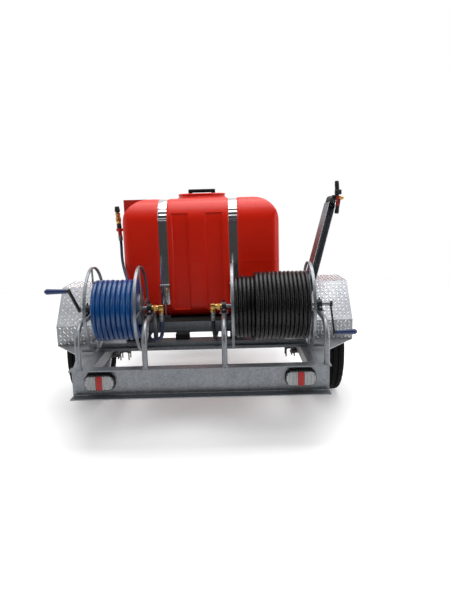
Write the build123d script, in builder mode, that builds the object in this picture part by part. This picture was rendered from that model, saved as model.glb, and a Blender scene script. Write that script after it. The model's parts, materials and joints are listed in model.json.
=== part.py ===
from build123d import *
import math
import os

# A single-axle trailer sprayer: galvanised chassis, poly tank, two hose reels, pump set and two guns.
# Frame: +X right, +Y forward to the tow ball, +Z up, ground at Z = 0, middle of the length at Y = 0.

# ---------------------------------------------------------------- driving dimensions, mm
LENGTH = 3100
REAR = -LENGTH / 2

CHANNEL_HALF = 642.5
CHANNEL_LOW = 270
CHANNEL_TOP = 420
CHANNEL_DEPTH = 65
CHANNEL_WALL = 5

RAIL_X = 565
RAIL_WIDTH = 60
RAIL_HEIGHT = 60
RAIL_END = REAR + 2060
RAIL_LOW = CHANNEL_TOP - RAIL_HEIGHT
BEARER_TOP = CHANNEL_TOP + 42
BEARER_HALF = 610
BEARER_WIDTH = 100
BEARER_YS = [REAR + 365, REAR + 1480, REAR + 1660, REAR + 1900]

WHEEL_Y = REAR + 890
WHEEL_X = 741
TYRE_RADIUS = 307
TYRE_WIDTH = 189
RIM_RADIUS = 178
STUB_RADIUS = 17.5
BEAM_HALF = 22.5
RUNNING = 0.05

GUARD_IN = 646
GUARD_OUT = 870
GUARD_REAR = REAR + 574
GUARD_BEND = REAR + 750
GUARD_LOW = 400
GUARD_KNEE = 519
GUARD_TOP = 722
SHEET = 3

LAMP_XS = [-503, 498]
LAMP_Z = 345

AXLE_Y = REAR + 262
AXLE_Z = 675
FLANGE_RADIUS = 224
HOOP_PIPE = 13.5
HOOP_TOP = 645
HOOP_YS = [REAR + 25, REAR + 440]

TANK_HALF = 445
TANK_REAR = REAR + 544
TANK_FRONT = REAR + 1544
TANK_LOW = 559
MAT = 3
TANK_TOP = 1240
STRAP_XS = [-215, 184]
STRAP_WIDTH = 50
GROOVE_DEPTH = 8
RECESS_TOP = 1104
EASE = 0.4
NECK_Y = REAR + 860
NECK_RADIUS = 142
LID_TOP = 1268

SKID_REAR = REAR + 460
SKID_LOW = 493
SKID_XS = [-390, -114, 190, 420]

HOSE_FEED = 20
HOSE_WHIP = 16

# One entry for each reel: flange planes, post planes, crank and hose sizes.
REELS = {
    "left": {
        "flanges": (-553, -309),
        "posts": (-593, -266),
        "crank_end": -628,
        "grip": (-668, -780),
        "throw": (-96, 115),
        "arm": "round",
        "drum": 84,
        "pack": 155,
        "elbow": -207,
    },
    "right": {
        "flanges": (569, 169),
        "posts": (623, 124),
        "crank_end": 678,
        "grip": (709, 816),
        "throw": (-30, -147),
        "arm": "flat",
        "drum": 99,
        "pack": 178,
        "elbow": 66,
    },
}

os.makedirs("parts", exist_ok=True)


# ---------------------------------------------------------------- helpers
def write(piece, name):
    """Label a finished piece and write its STEP file."""
    piece.part.label = name
    export_step(piece.part, f"parts/{name}.step")


def block(low, high, mode=Mode.ADD):
    """A box between two corners, in the part being built."""
    size = Vector(*high) - Vector(*low)
    with Locations((Vector(*high) + Vector(*low)) / 2):
        Box(abs(size.X), abs(size.Y), abs(size.Z), mode=mode)


def rod(start, end, radius, mode=Mode.ADD):
    """A round bar from one point to another, in the part being built."""
    way = Vector(*end) - Vector(*start)
    with BuildSketch(Plane(origin=start, z_dir=way)) as section:
        Circle(radius)
    extrude(section.sketch, amount=way.length, mode=mode)


def pipe(start, end, radius, bore):
    """A hollow round bar from one point to another."""
    rod(start, end, radius)
    rod(start, end, bore, mode=Mode.SUBTRACT)


def hexagon(start, end, across):
    """A hexagonal nut or bolt head between two points."""
    way = Vector(*end) - Vector(*start)
    with BuildSketch(Plane(origin=start, z_dir=way)) as section:
        RegularPolygon(across / 2, 6, major_radius=False)
    extrude(section.sketch, amount=way.length)


def bend_radii(points):
    """The largest tangent arc for each corner of a route: 0.45 of its shorter run."""
    spots = [Vector(*p) for p in points]
    radii = []
    for before, here, after in zip(spots, spots[1:], spots[2:]):
        turn = math.radians((here - before).get_angle(after - here))
        run = min((here - before).length, (after - here).length)
        radii.append(0.45 * run / math.tan(turn / 2))
    return radii


def hose(points, diameter, name):
    """A hose along straight runs and tangent arcs, added to the part being built."""
    radii = bend_radii(points)
    with BuildLine() as route:
        FilletPolyline(*points, radius=radii)
    way = Vector(*points[1]) - Vector(*points[0])
    with BuildSketch(Plane(origin=points[0], z_dir=way)) as section:
        Circle(diameter / 2)
    sweep(section.sketch, path=route.line)
    length = sum(edge.length for edge in route.edges())
    print(name, "length", round(length), "radii", [round(r) for r in radii])
    return math.pi * diameter**2 / 4 * length


def mirrored(point, side):
    """A point of the right-hand side, or its mirror image on the left."""
    return (point[0] * side, point[1], point[2])


# ---------------------------------------------------------------- chassis
def make_rear_crossmember():
    """Wide channel across the tail, flanges to the rear, with lamp cable holes in its web."""
    with BuildPart() as rear_crossmember:
        block((-CHANNEL_HALF, REAR, CHANNEL_LOW), (CHANNEL_HALF, REAR + CHANNEL_DEPTH, CHANNEL_TOP))
        block(
            (-CHANNEL_HALF, REAR, CHANNEL_LOW + CHANNEL_WALL),
            (CHANNEL_HALF, REAR + CHANNEL_DEPTH - CHANNEL_WALL, CHANNEL_TOP - CHANNEL_WALL),
            mode=Mode.SUBTRACT,
        )
        web_corners = (
            rear_crossmember.edges()
            .filter_by(Axis.X)
            .filter_by(lambda e: abs(e.center().Y - (REAR + CHANNEL_DEPTH - CHANNEL_WALL)) < 0.01)
        )
        fillet(web_corners, 6)
        for lamp_x in LAMP_XS:
            rod((lamp_x, REAR, LAMP_Z), (lamp_x, REAR + 80, LAMP_Z), 8, mode=Mode.SUBTRACT)
    write(rear_crossmember, "rear_crossmember")


def make_rails():
    """Two open-ended box-section rails from the tail channel to the drawbar."""
    for side, name in ((-1, "left"), (1, "right")):
        low = REAR + CHANNEL_DEPTH
        x_in = side * RAIL_X - RAIL_WIDTH / 2
        wall = 3
        with BuildPart() as rail:
            block((x_in, low, RAIL_LOW), (x_in + RAIL_WIDTH, RAIL_END, CHANNEL_TOP))
            block(
                (x_in + wall, low, RAIL_LOW + wall),
                (x_in + RAIL_WIDTH - wall, RAIL_END, CHANNEL_TOP - wall),
                mode=Mode.SUBTRACT,
            )
        write(rail, f"chassis_rail_{name}")


def make_crossmembers():
    """Bearers across the rails for tank and pump set, the front tie and the guard stay bar."""
    wall = 4
    with BuildPart() as chassis_crossmembers:
        for y in BEARER_YS:
            block((-BEARER_HALF, y, CHANNEL_TOP), (BEARER_HALF, y + BEARER_WIDTH, BEARER_TOP))
            block(
                (-BEARER_HALF, y + wall, CHANNEL_TOP),
                (BEARER_HALF, y + BEARER_WIDTH - wall, BEARER_TOP - wall),
                mode=Mode.SUBTRACT,
            )
        inner = RAIL_X - RAIL_WIDTH / 2
        block((-inner, RAIL_END - 50, RAIL_LOW), (inner, RAIL_END, CHANNEL_TOP))
        block(
            (-inner, RAIL_END - 50 + wall, RAIL_LOW + wall),
            (inner, RAIL_END - wall, CHANNEL_TOP - wall),
            mode=Mode.SUBTRACT,
        )
        block((-668, REAR + 350, CHANNEL_TOP), (668, REAR + 364, CHANNEL_TOP + 16))
    write(chassis_crossmembers, "chassis_crossmembers")


def make_drawbars():
    """Two converging channels from the front tie to the coupling plate."""
    low, high = 345, CHANNEL_TOP
    wall = 5
    for side, name in ((-1, "left"), (1, "right")):
        with BuildPart() as drawbar:
            with BuildSketch(Plane.XY.offset(low)) as plan:
                with BuildLine():
                    Polyline(
                        (side * 470, RAIL_END),
                        (side * 530, RAIL_END),
                        (side * 58, REAR + 2880),
                        (side * 8, REAR + 2880),
                        close=True,
                    )
                make_face()
            extrude(plan.sketch, amount=high - low)
            with BuildSketch(Plane.XY.offset(low + wall)) as hollow:
                with BuildLine():
                    Polyline(
                        (side * 440, RAIL_END + wall),
                        (side * (524 - wall), RAIL_END + wall),
                        (side * (52 - wall), REAR + 2880 - wall),
                        (side * -20, REAR + 2880 - wall),
                        close=True,
                    )
                make_face()
            extrude(hollow.sketch, amount=high - low - 2 * wall, mode=Mode.SUBTRACT)
        write(drawbar, f"drawbar_{name}")


# ---------------------------------------------------------------- running gear
def make_axle():
    """Square axle beam with round stubs that carry the hubs."""
    low, high = TYRE_RADIUS - BEAM_HALF, TYRE_RADIUS + BEAM_HALF
    with BuildPart() as axle_beam:
        block((-600, WHEEL_Y - BEAM_HALF, low), (600, WHEEL_Y + BEAM_HALF, high))
        rod((-762, WHEEL_Y, TYRE_RADIUS), (762, WHEEL_Y, TYRE_RADIUS), STUB_RADIUS)
    write(axle_beam, "axle_beam")


SPRING_X = 535
LEAF = 7
SPRING_LOW = TYRE_RADIUS + BEAM_HALF
SPRING_TOP = SPRING_LOW + 3 * LEAF
EYE_GAP = 330
EYE_RADIUS = 13
EYE_Z = SPRING_TOP - 9.5
BOLT_LOW = 222


def make_springs():
    """Two leaf packs on top of the axle, three leaves each, with eyes at the main leaf's ends."""
    with BuildPart() as leaf_springs:
        for side in (-1, 1):
            left = side * SPRING_X - 22
            for count, half in enumerate((EYE_GAP - 8, 220, 130)):
                top = SPRING_TOP - count * LEAF
                block((left, WHEEL_Y - half, top - LEAF), (left + 44, WHEEL_Y + half, top))
            for end in (-1, 1):
                y = WHEEL_Y + end * EYE_GAP
                rod((left, y, EYE_Z), (left + 44, y, EYE_Z), EYE_RADIUS)
                rod((left, y, EYE_Z), (left + 44, y, EYE_Z), 8, mode=Mode.SUBTRACT)
    write(leaf_springs, "leaf_springs")


def make_brackets():
    """Spring hangers with their eye bolts, and the U-bolts and plates that clamp axle to spring."""
    plate_top = TYRE_RADIUS - BEAM_HALF
    with BuildPart() as suspension_brackets:
        for side in (-1, 1):
            x = side * SPRING_X
            for end in (-1, 1):
                y = WHEEL_Y + end * EYE_GAP
                for cheek in (-1, 1):
                    x_low, x_high = sorted((x + cheek * 22.5, x + cheek * 28.5))
                    block((x_low, y - 20, EYE_Z - 20), (x_high, y + 20, RAIL_LOW))
                rod((x - 34, y, EYE_Z), (x + 34, y, EYE_Z), 7.9)
            block((x - 34, WHEEL_Y - 45, plate_top - 8), (x + 34, WHEEL_Y + 45, plate_top))
            for end in (-1, 1):
                y = WHEEL_Y + end * 31
                for across in (-26.5, 26.5):
                    rod((x + across, y, BOLT_LOW), (x + across, y, SPRING_TOP + 4), 4)
                    hexagon((x + across, y, plate_top - 16), (x + across, y, plate_top - 8), 15)
                rod((x - 26.5, y, SPRING_TOP + 4), (x + 26.5, y, SPRING_TOP + 4), 4)
    write(suspension_brackets, "suspension_brackets")


def wheel_plane(side):
    """The plane in which a wheel's section is drawn: across the wheel, then outward from the axle."""
    return Plane(
        origin=(side * WHEEL_X, WHEEL_Y, TYRE_RADIUS), x_dir=(side, 0, 0), z_dir=(0, -side, 0)
    )


def make_wheels():
    """Tyres, dished steel rims, and hubs with five wheel nuts."""
    half = TYRE_WIDTH / 2
    for side, name in ((-1, "left"), (1, "right")):
        plane = wheel_plane(side)
        turn_axis = Axis((side * WHEEL_X, WHEEL_Y, TYRE_RADIUS), (1, 0, 0))
        with BuildPart() as tyre:
            with BuildSketch(plane) as section:
                with BuildLine():
                    Polyline(
                        (-84, RIM_RADIUS + 27),
                        (-69.5, RIM_RADIUS + 19),
                        (-69.5, RIM_RADIUS + 0.3),
                        (-52, RIM_RADIUS + 0.3),
                        (-70, TYRE_RADIUS - 60),
                        (-62, TYRE_RADIUS - 24),
                        (62, TYRE_RADIUS - 24),
                        (70, TYRE_RADIUS - 60),
                        (52, RIM_RADIUS + 0.3),
                        (69.5, RIM_RADIUS + 0.3),
                        (69.5, RIM_RADIUS + 19),
                        (84, RIM_RADIUS + 27),
                    )
                    Spline(
                        (84, RIM_RADIUS + 27),
                        (half, TYRE_RADIUS - 62),
                        (half - 12, TYRE_RADIUS - 12),
                        tangents=((0.6, 1), (-0.7, 1)),
                    )
                    ThreePointArc(
                        (half - 12, TYRE_RADIUS - 12), (0, TYRE_RADIUS), (-half + 12, TYRE_RADIUS - 12)
                    )
                    Spline(
                        (-half + 12, TYRE_RADIUS - 12),
                        (-half, TYRE_RADIUS - 62),
                        (-84, RIM_RADIUS + 27),
                        tangents=((-0.7, -1), (0.6, -1)),
                    )
                make_face()
            revolve(section.sketch, axis=turn_axis)
        write(tyre, f"tyre_{name}")

        with BuildPart() as rim:
            with BuildSketch(plane) as section:
                with BuildLine():
                    Polyline(
                        (-78, RIM_RADIUS + 17),
                        (-73, RIM_RADIUS + 17),
                        (-70, RIM_RADIUS),
                        (-50, RIM_RADIUS),
                        (-44, RIM_RADIUS - 16),
                        (36, RIM_RADIUS - 16),
                        (46, RIM_RADIUS),
                        (70, RIM_RADIUS),
                        (73, RIM_RADIUS + 17),
                        (78, RIM_RADIUS + 17),
                        (74, RIM_RADIUS - 4),
                        (48, RIM_RADIUS - 4),
                        (38, RIM_RADIUS - 20),
                        (30, RIM_RADIUS - 20),
                        (26, 118),
                        (38, 96),
                        (14, 74),
                        (14, 34),
                        (10, 34),
                        (10, 76),
                        (33, 97),
                        (22, 117),
                        (25, RIM_RADIUS - 20),
                        (-46, RIM_RADIUS - 20),
                        (-52, RIM_RADIUS - 4),
                        (-74, RIM_RADIUS - 4),
                        close=True,
                    )
                make_face()
            revolve(section.sketch, axis=turn_axis)
            for angle in range(0, 360, 30):
                around = math.radians(angle)
                y = WHEEL_Y + 132 * math.cos(around)
                z = TYRE_RADIUS + 132 * math.sin(around)
                rod((side * 730, y, z), (side * 800, y, z), 10, mode=Mode.SUBTRACT)
            for stud in range(5):
                around = math.radians(72 * stud + 18)
                y = WHEEL_Y + 57 * math.cos(around)
                z = TYRE_RADIUS + 57 * math.sin(around)
                rod((side * 730, y, z), (side * 790, y, z), 7, mode=Mode.SUBTRACT)
        write(rim, f"rim_{name}")

        with BuildPart() as hub:
            start = side * (WHEEL_X - 62)
            rod((start, WHEEL_Y, TYRE_RADIUS), (side * (WHEEL_X - 4), WHEEL_Y, TYRE_RADIUS), 39)
            rod(
                (side * (WHEEL_X - 4), WHEEL_Y, TYRE_RADIUS),
                (side * (WHEEL_X + 9.9), WHEEL_Y, TYRE_RADIUS),
                72,
            )
            rod(
                (side * (WHEEL_X + 9.9), WHEEL_Y, TYRE_RADIUS),
                (side * (WHEEL_X + 36), WHEEL_Y, TYRE_RADIUS),
                30,
            )
            rod(
                (start, WHEEL_Y, TYRE_RADIUS),
                (side * (WHEEL_X + 28), WHEEL_Y, TYRE_RADIUS),
                STUB_RADIUS + RUNNING,
                mode=Mode.SUBTRACT,
            )
            for stud in range(5):
                around = math.radians(72 * stud + 18)
                y = WHEEL_Y + 57 * math.cos(around)
                z = TYRE_RADIUS + 57 * math.sin(around)
                rod((side * (WHEEL_X + 5), y, z), (side * (WHEEL_X + 34), y, z), 6)
                hexagon((side * (WHEEL_X + 14.1), y, z), (side * (WHEEL_X + 28), y, z), 19)
        write(hub, f"hub_{name}")


def make_mudguards():
    """Folded chequer-plate guards, each with the flat stay plate that carries it from the rail."""
    front = 2 * WHEEL_Y - GUARD_REAR
    front_bend = front - (GUARD_BEND - GUARD_REAR)
    lip = 14
    for side, name in ((-1, "left"), (1, "right")):
        start = GUARD_IN if side > 0 else -GUARD_OUT
        outer = [
            (GUARD_REAR, GUARD_LOW),
            (GUARD_REAR, GUARD_KNEE),
            (GUARD_BEND, GUARD_TOP),
            (front_bend, GUARD_TOP),
            (front, GUARD_KNEE),
            (front, GUARD_LOW),
        ]
        with BuildPart() as mudguard:
            with BuildSketch(Plane(origin=(start, 0, 0), x_dir=(0, 1, 0), z_dir=(1, 0, 0))) as fold:
                with BuildLine() as outline:
                    Polyline(*outer)
                    offset(outline.line, SHEET, side=Side.RIGHT, kind=Kind.INTERSECTION)
                make_face()
            extrude(fold.sketch, amount=GUARD_OUT - GUARD_IN)
            with BuildSketch(Plane.XY.offset(GUARD_LOW)) as plate:
                with BuildLine():
                    Polyline(
                        (side * (RAIL_X + RAIL_WIDTH / 2), REAR + CHANNEL_DEPTH),
                        (side * (CHANNEL_HALF - 2), REAR + CHANNEL_DEPTH),
                        (side * 692, REAR + 350),
                        (side * GUARD_OUT, GUARD_REAR),
                        (side * GUARD_OUT, GUARD_REAR + lip),
                        (side * (RAIL_X + RAIL_WIDTH / 2), GUARD_REAR + lip),
                        close=True,
                    )
                make_face()
            extrude(plate.sketch, amount=4)
            block(
                mirrored((RAIL_X + RAIL_WIDTH / 2, front - lip, GUARD_LOW), side),
                mirrored((GUARD_OUT, front, GUARD_LOW + 4), side),
            )
        write(mudguard, f"mudguard_{name}")


def make_lamps():
    """Two rounded tail lamps on the channel's web, each a base with its cable stub, and a lens."""
    web_face = REAR + CHANNEL_DEPTH - CHANNEL_WALL
    with BuildPart() as tail_lamps:
        for x in LAMP_XS:
            with BuildSketch(Plane(origin=(x, web_face, LAMP_Z), x_dir=(1, 0, 0), z_dir=(0, -1, 0))) as s:
                RectangleRounded(158, 86, 36)
            extrude(s.sketch, amount=14)
            rod((x, web_face, LAMP_Z), (x, web_face + 16, LAMP_Z), 7.5)
        for x in LAMP_XS:
            plane = Plane(origin=(x, web_face - 14.1, LAMP_Z), x_dir=(1, 0, 0), z_dir=(0, -1, 0))
            with BuildSketch(plane) as s:
                RectangleRounded(150, 78, 32)
            extrude(s.sketch, amount=16)
        fillet(tail_lamps.faces().sort_by(Axis.Y)[0:2].edges(), 5)
    write(tail_lamps, "tail_lamps")


# ---------------------------------------------------------------- coupling and jockey wheel
BALL_Y = REAR + LENGTH - 46
BALL_Z = 432


def make_coupling():
    """Pressed ball coupling for a 50 mm ball, bolted to the drawbar nose, and its latch lever."""
    plate_top = CHANNEL_TOP + 8
    with BuildPart() as coupling_body:
        block((-62, REAR + 2700, CHANNEL_TOP), (62, REAR + 2880, plate_top))
        block((-38, REAR + 2720, plate_top), (38, BALL_Y - 20, plate_top + 52))
        block(
            (-33, REAR + 2725, plate_top), (33, BALL_Y - 40, plate_top + 40), mode=Mode.SUBTRACT
        )
        rod((0, BALL_Y, BALL_Z - 26), (0, BALL_Y, BALL_Z + 42), 46)
        block((-9, BALL_Y - 44, plate_top + 30), (9, BALL_Y + 2, BALL_Z + 68))
        rod((0, BALL_Y, BALL_Z - 26), (0, BALL_Y, BALL_Z), 25.6, mode=Mode.SUBTRACT)
        with Locations((0, BALL_Y, BALL_Z)):
            Sphere(25.6, mode=Mode.SUBTRACT)
        for y in (REAR + 2760, REAR + 2830):
            for x in (-50, 50):
                hexagon((x, y, plate_top), (x, y, plate_top + 8), 19)
        rod((-12, BALL_Y - 34, BALL_Z + 60), (12, BALL_Y - 34, BALL_Z + 60), 5, mode=Mode.SUBTRACT)
    write(coupling_body, "coupling_body")
    with BuildPart() as coupling_lever:
        for side in (-1, 1):
            x_low, x_high = sorted((side * 10, side * 14))
            block((x_low, BALL_Y - 150, BALL_Z + 51), (x_high, BALL_Y - 28, BALL_Z + 68))
        rod((-14, BALL_Y - 34, BALL_Z + 60), (14, BALL_Y - 34, BALL_Z + 60), 5 - RUNNING)
        block((-14, BALL_Y - 214, BALL_Z + 60), (14, BALL_Y - 140, BALL_Z + 66))
        block((-14, BALL_Y - 150, BALL_Z + 56), (14, BALL_Y - 140, BALL_Z + 64))
    write(coupling_lever, "coupling_lever")


JOCKEY_X = 232
JOCKEY_Y = REAR + 2720
JOCKEY_RADIUS = 100
JOCKEY_SLEEVE_LOW = 374
JOCKEY_SLEEVE_TOP = 770
JOCKEY_LEG_TOP = 620


def make_jockey():
    """Wind-down jockey wheel clamped to the right drawbar."""
    x, y = JOCKEY_X, JOCKEY_Y
    with BuildPart() as jockey_outer_tube:
        pipe((x, y, JOCKEY_SLEEVE_LOW), (x, y, JOCKEY_SLEEVE_TOP), 30, 27)
        block((x - 130, y - 26, CHANNEL_TOP), (x - 28, y + 26, CHANNEL_TOP + 12))
        block((x - 40, y - 26, 384), (x - 28.5, y + 26, 446))
        rod((x, y, JOCKEY_SLEEVE_TOP), (x, y, JOCKEY_SLEEVE_TOP + 12), 32)
        rod(
            (x, y, JOCKEY_SLEEVE_TOP - 10), (x, y, JOCKEY_SLEEVE_TOP + 20), 10 + RUNNING,
            mode=Mode.SUBTRACT,
        )
        rod((x, y + 28, 410), (x, y + 66, 410), 6)
        rod((x, y + 60, 380), (x, y + 60, 444), 5)
    write(jockey_outer_tube, "jockey_outer_tube")

    with BuildPart() as jockey_leg:
        pipe((x, y, 255), (x, y, JOCKEY_LEG_TOP), 27 - RUNNING, 23)
        rod((x, y, 255), (x, y, 263), 23)
        rod((x, y, JOCKEY_LEG_TOP - 20), (x, y, JOCKEY_LEG_TOP), 23)
        rod((x, y, JOCKEY_LEG_TOP - 25), (x, y, JOCKEY_LEG_TOP + 5), 10 + RUNNING, mode=Mode.SUBTRACT)
        rod((x, y, 232), (x, y, 256), 9)
    write(jockey_leg, "jockey_leg")

    top = JOCKEY_SLEEVE_TOP
    with BuildPart() as jockey_crank:
        rod((x, y, 400), (x, y, top + 35), 10)
        rod((x, y, top + 13), (x, y, top + 37), 15)
        rod((x, y + 2, top + 26), (x, y + 112, top + 26), 7)
        rod((x, y + 115, top + 16), (x, y + 115, top + 100), 11)
    write(jockey_crank, "jockey_crank")

    with BuildPart() as jockey_fork:
        block((JOCKEY_X - 40, JOCKEY_Y - 26, 222), (JOCKEY_X + 40, JOCKEY_Y + 26, 230))
        rod(
            (JOCKEY_X, JOCKEY_Y, 220), (JOCKEY_X, JOCKEY_Y, 254), 9 + RUNNING, mode=Mode.SUBTRACT
        )
        for side in (-1, 1):
            x_low, x_high = sorted((JOCKEY_X + side * 35, JOCKEY_X + side * 40))
            with BuildSketch(Plane(origin=(x_low, 0, 0), x_dir=(0, 1, 0), z_dir=(1, 0, 0))) as cheek:
                with BuildLine():
                    Polyline(
                        (JOCKEY_Y - 26, 226),
                        (JOCKEY_Y + 26, 226),
                        (JOCKEY_Y - 24, 84),
                        (JOCKEY_Y - 60, 84),
                        close=True,
                    )
                make_face()
            extrude(cheek.sketch, amount=x_high - x_low)
        rod(
            (JOCKEY_X - 46, JOCKEY_Y - 42, JOCKEY_RADIUS),
            (JOCKEY_X + 46, JOCKEY_Y - 42, JOCKEY_RADIUS),
            8,
        )
    write(jockey_fork, "jockey_fork")

    with BuildPart() as jockey_wheel:
        y, z = JOCKEY_Y - 42, JOCKEY_RADIUS
        rod((JOCKEY_X - 28, y, z), (JOCKEY_X + 28, y, z), JOCKEY_RADIUS)
        fillet(jockey_wheel.edges().filter_by(GeomType.CIRCLE), 10)
        rod((JOCKEY_X - 33, y, z), (JOCKEY_X + 33, y, z), 24)
        for side in (-1, 1):
            rod(
                (JOCKEY_X + side * 20, y, z), (JOCKEY_X + side * 40, y, z), 72, mode=Mode.SUBTRACT
            )
            rod((JOCKEY_X, y, z), (JOCKEY_X + side * 33, y, z), 24)
        rod((JOCKEY_X - 40, y, z), (JOCKEY_X + 40, y, z), 8 + RUNNING, mode=Mode.SUBTRACT)
    write(jockey_wheel, "jockey_wheel")


# ---------------------------------------------------------------- hose reels
def make_reel_stand(name, reel):
    """Two bent-pipe hoops that stand on the tail channel and the rear bearer, one each side."""
    rear_y, front_y = HOOP_YS
    with BuildPart() as stand:
        for x in reel["posts"]:
            top = HOOP_TOP - HOOP_PIPE
            points = [(x, rear_y, CHANNEL_TOP), (x, rear_y, top), (x, front_y, top), (x, front_y, BEARER_TOP)]
            with BuildLine() as bend:
                FilletPolyline(*points, radius=95)
            with BuildSketch(Plane(origin=points[0], z_dir=(0, 0, 1))) as section:
                Circle(HOOP_PIPE)
            sweep(section.sketch, path=bend.line)
            block(
                (x - 22, AXLE_Y - 40, HOOP_TOP - 3), (x + 22, AXLE_Y + 40, HOOP_TOP + 2)
            )
    write(stand, f"{name}_reel_stand")


def make_bearings():
    """Four pillow blocks on the hoops that carry the reel axles."""
    with BuildPart() as reel_bearings:
        for reel in REELS.values():
            for x in reel["posts"]:
                low = HOOP_TOP + 2
                block((x - 12, AXLE_Y - 38, low), (x + 12, AXLE_Y + 38, low + 12))
                rod((x - 12, AXLE_Y, AXLE_Z), (x + 12, AXLE_Y, AXLE_Z), 24)
                rod((x - 13, AXLE_Y, AXLE_Z), (x + 13, AXLE_Y, AXLE_Z), 10.65 + RUNNING, mode=Mode.SUBTRACT)
                rod((x, AXLE_Y, AXLE_Z + 18), (x, AXLE_Y, AXLE_Z + 36), 4)
    write(reel_bearings, "reel_bearings")


def make_reel(name, reel):
    """Welded drum with open spoked flanges, hollow axle, crank with its grip, and the wound hose."""
    outer_x, inner_x = reel["flanges"]
    side = 1 if outer_x > inner_x else -1
    ring_half = 7
    with BuildPart() as drum:
        for x in reel["flanges"]:
            rod((x - ring_half, AXLE_Y, AXLE_Z), (x + ring_half, AXLE_Y, AXLE_Z), FLANGE_RADIUS)
            rod(
                (x - ring_half, AXLE_Y, AXLE_Z),
                (x + ring_half, AXLE_Y, AXLE_Z),
                FLANGE_RADIUS - 8,
                mode=Mode.SUBTRACT,
            )
            for spoke in range(4):
                around = math.radians(90 * spoke + 4)
                tip = (
                    x,
                    AXLE_Y + (FLANGE_RADIUS - 3) * math.cos(around),
                    AXLE_Z + (FLANGE_RADIUS - 3) * math.sin(around),
                )
                rod((x, AXLE_Y, AXLE_Z), tip, 5)
            rod((x - 3, AXLE_Y, AXLE_Z), (x + 3, AXLE_Y, AXLE_Z), reel["drum"])
        low, high = sorted((outer_x, inner_x))
        rod((low, AXLE_Y, AXLE_Z), (high, AXLE_Y, AXLE_Z), reel["drum"])
        rod((low + 3, AXLE_Y, AXLE_Z), (high - 3, AXLE_Y, AXLE_Z), reel["drum"] - 4, mode=Mode.SUBTRACT)
        rod((low - 20, AXLE_Y, AXLE_Z), (high + 20, AXLE_Y, AXLE_Z), 10.65, mode=Mode.SUBTRACT)
    write(drum, f"{name}_reel_drum")

    crank_x = reel["crank_end"]
    elbow_x = reel["elbow"]
    with BuildPart() as axle:
        rod((elbow_x + side * 30, AXLE_Y, AXLE_Z), (crank_x, AXLE_Y, AXLE_Z), 10.65)
        rod(
            (elbow_x + side * 30, AXLE_Y, AXLE_Z), (inner_x + side * 40, AXLE_Y, AXLE_Z), 7,
            mode=Mode.SUBTRACT,
        )
    write(axle, f"{name}_reel_axle")

    throw_y, throw_z = reel["throw"]
    root = (crank_x + side * 4, AXLE_Y, AXLE_Z)
    grip_start, grip_end = reel["grip"]
    pin = (grip_start - side * 12, AXLE_Y + throw_y, AXLE_Z + throw_z)
    with BuildPart() as crank:
        rod((crank_x, AXLE_Y, AXLE_Z), (crank_x + side * 14, AXLE_Y, AXLE_Z), 14)
        if reel["arm"] == "round":
            rod((root[0] + side * 7, root[1], root[2]), pin, 9)
        else:
            way = Vector(*pin) - Vector(*root)
            with BuildSketch(Plane(origin=root, x_dir=(1, 0, 0), z_dir=way)) as flat:
                Rectangle(6, 24)
            extrude(flat.sketch, amount=way.length)
        rod((pin[0] - side * 6, pin[1], pin[2]), (grip_end - side * 6, pin[1], pin[2]), 6)
        hexagon((grip_end - side * 6, pin[1], pin[2]), (grip_end - side * 1, pin[1], pin[2]), 14)
        rod((pin[0] - side * 6, pin[1], pin[2]), (pin[0] + side * 6, pin[1], pin[2]), 12)
    write(crank, f"{name}_reel_crank")

    with BuildPart() as grip:
        stop = grip_end - side * 7
        with BuildSketch(Plane(origin=(grip_start, pin[1], pin[2]), z_dir=(side, 0, 0))) as small:
            Circle(11)
        with BuildSketch(Plane(origin=(stop, pin[1], pin[2]), z_dir=(side, 0, 0))) as large:
            Circle(14.5)
        loft(sections=[small.sketch, large.sketch])
        rod(
            (grip_start - side, pin[1], pin[2]), (stop + side, pin[1], pin[2]), 6 + RUNNING,
            mode=Mode.SUBTRACT,
        )
    write(grip, f"{name}_reel_grip")

    with BuildPart() as coil:
        gap = ring_half + 1
        rod((low + gap, AXLE_Y, AXLE_Z), (high - gap, AXLE_Y, AXLE_Z), reel["pack"])
        rod(
            (low + gap, AXLE_Y, AXLE_Z), (high - gap, AXLE_Y, AXLE_Z), reel["drum"] + 0.05,
            mode=Mode.SUBTRACT,
        )
    write(coil, f"{name}_hose_coil")


def make_feed_fittings():
    """Brass swivel elbows on the axle ends, and the ferrules on the feed hoses below them."""
    with BuildPart() as feed_fittings:
        for reel in REELS.values():
            elbow_x = reel["elbow"]
            side = 1 if reel["flanges"][0] > reel["flanges"][1] else -1
            rod((elbow_x, AXLE_Y, AXLE_Z), (elbow_x + side * 44, AXLE_Y, AXLE_Z), 15)
            hexagon(
                (elbow_x + side * 24, AXLE_Y, AXLE_Z), (elbow_x + side * 40, AXLE_Y, AXLE_Z), 34
            )
            rod(
                (elbow_x + side * 28, AXLE_Y, AXLE_Z),
                (elbow_x + side * 50, AXLE_Y, AXLE_Z),
                10.65 + RUNNING,
                mode=Mode.SUBTRACT,
            )
            block(
                (elbow_x - 14, AXLE_Y - 14, AXLE_Z - 16), (elbow_x + 14, AXLE_Y + 14, AXLE_Z + 16)
            )
            hexagon((elbow_x, AXLE_Y, AXLE_Z - 32), (elbow_x, AXLE_Y, AXLE_Z - 16), 26)
            rod((elbow_x, AXLE_Y, AXLE_Z - 70), (elbow_x, AXLE_Y, AXLE_Z - 32), 12.5)
    write(feed_fittings, "feed_fittings")


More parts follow.
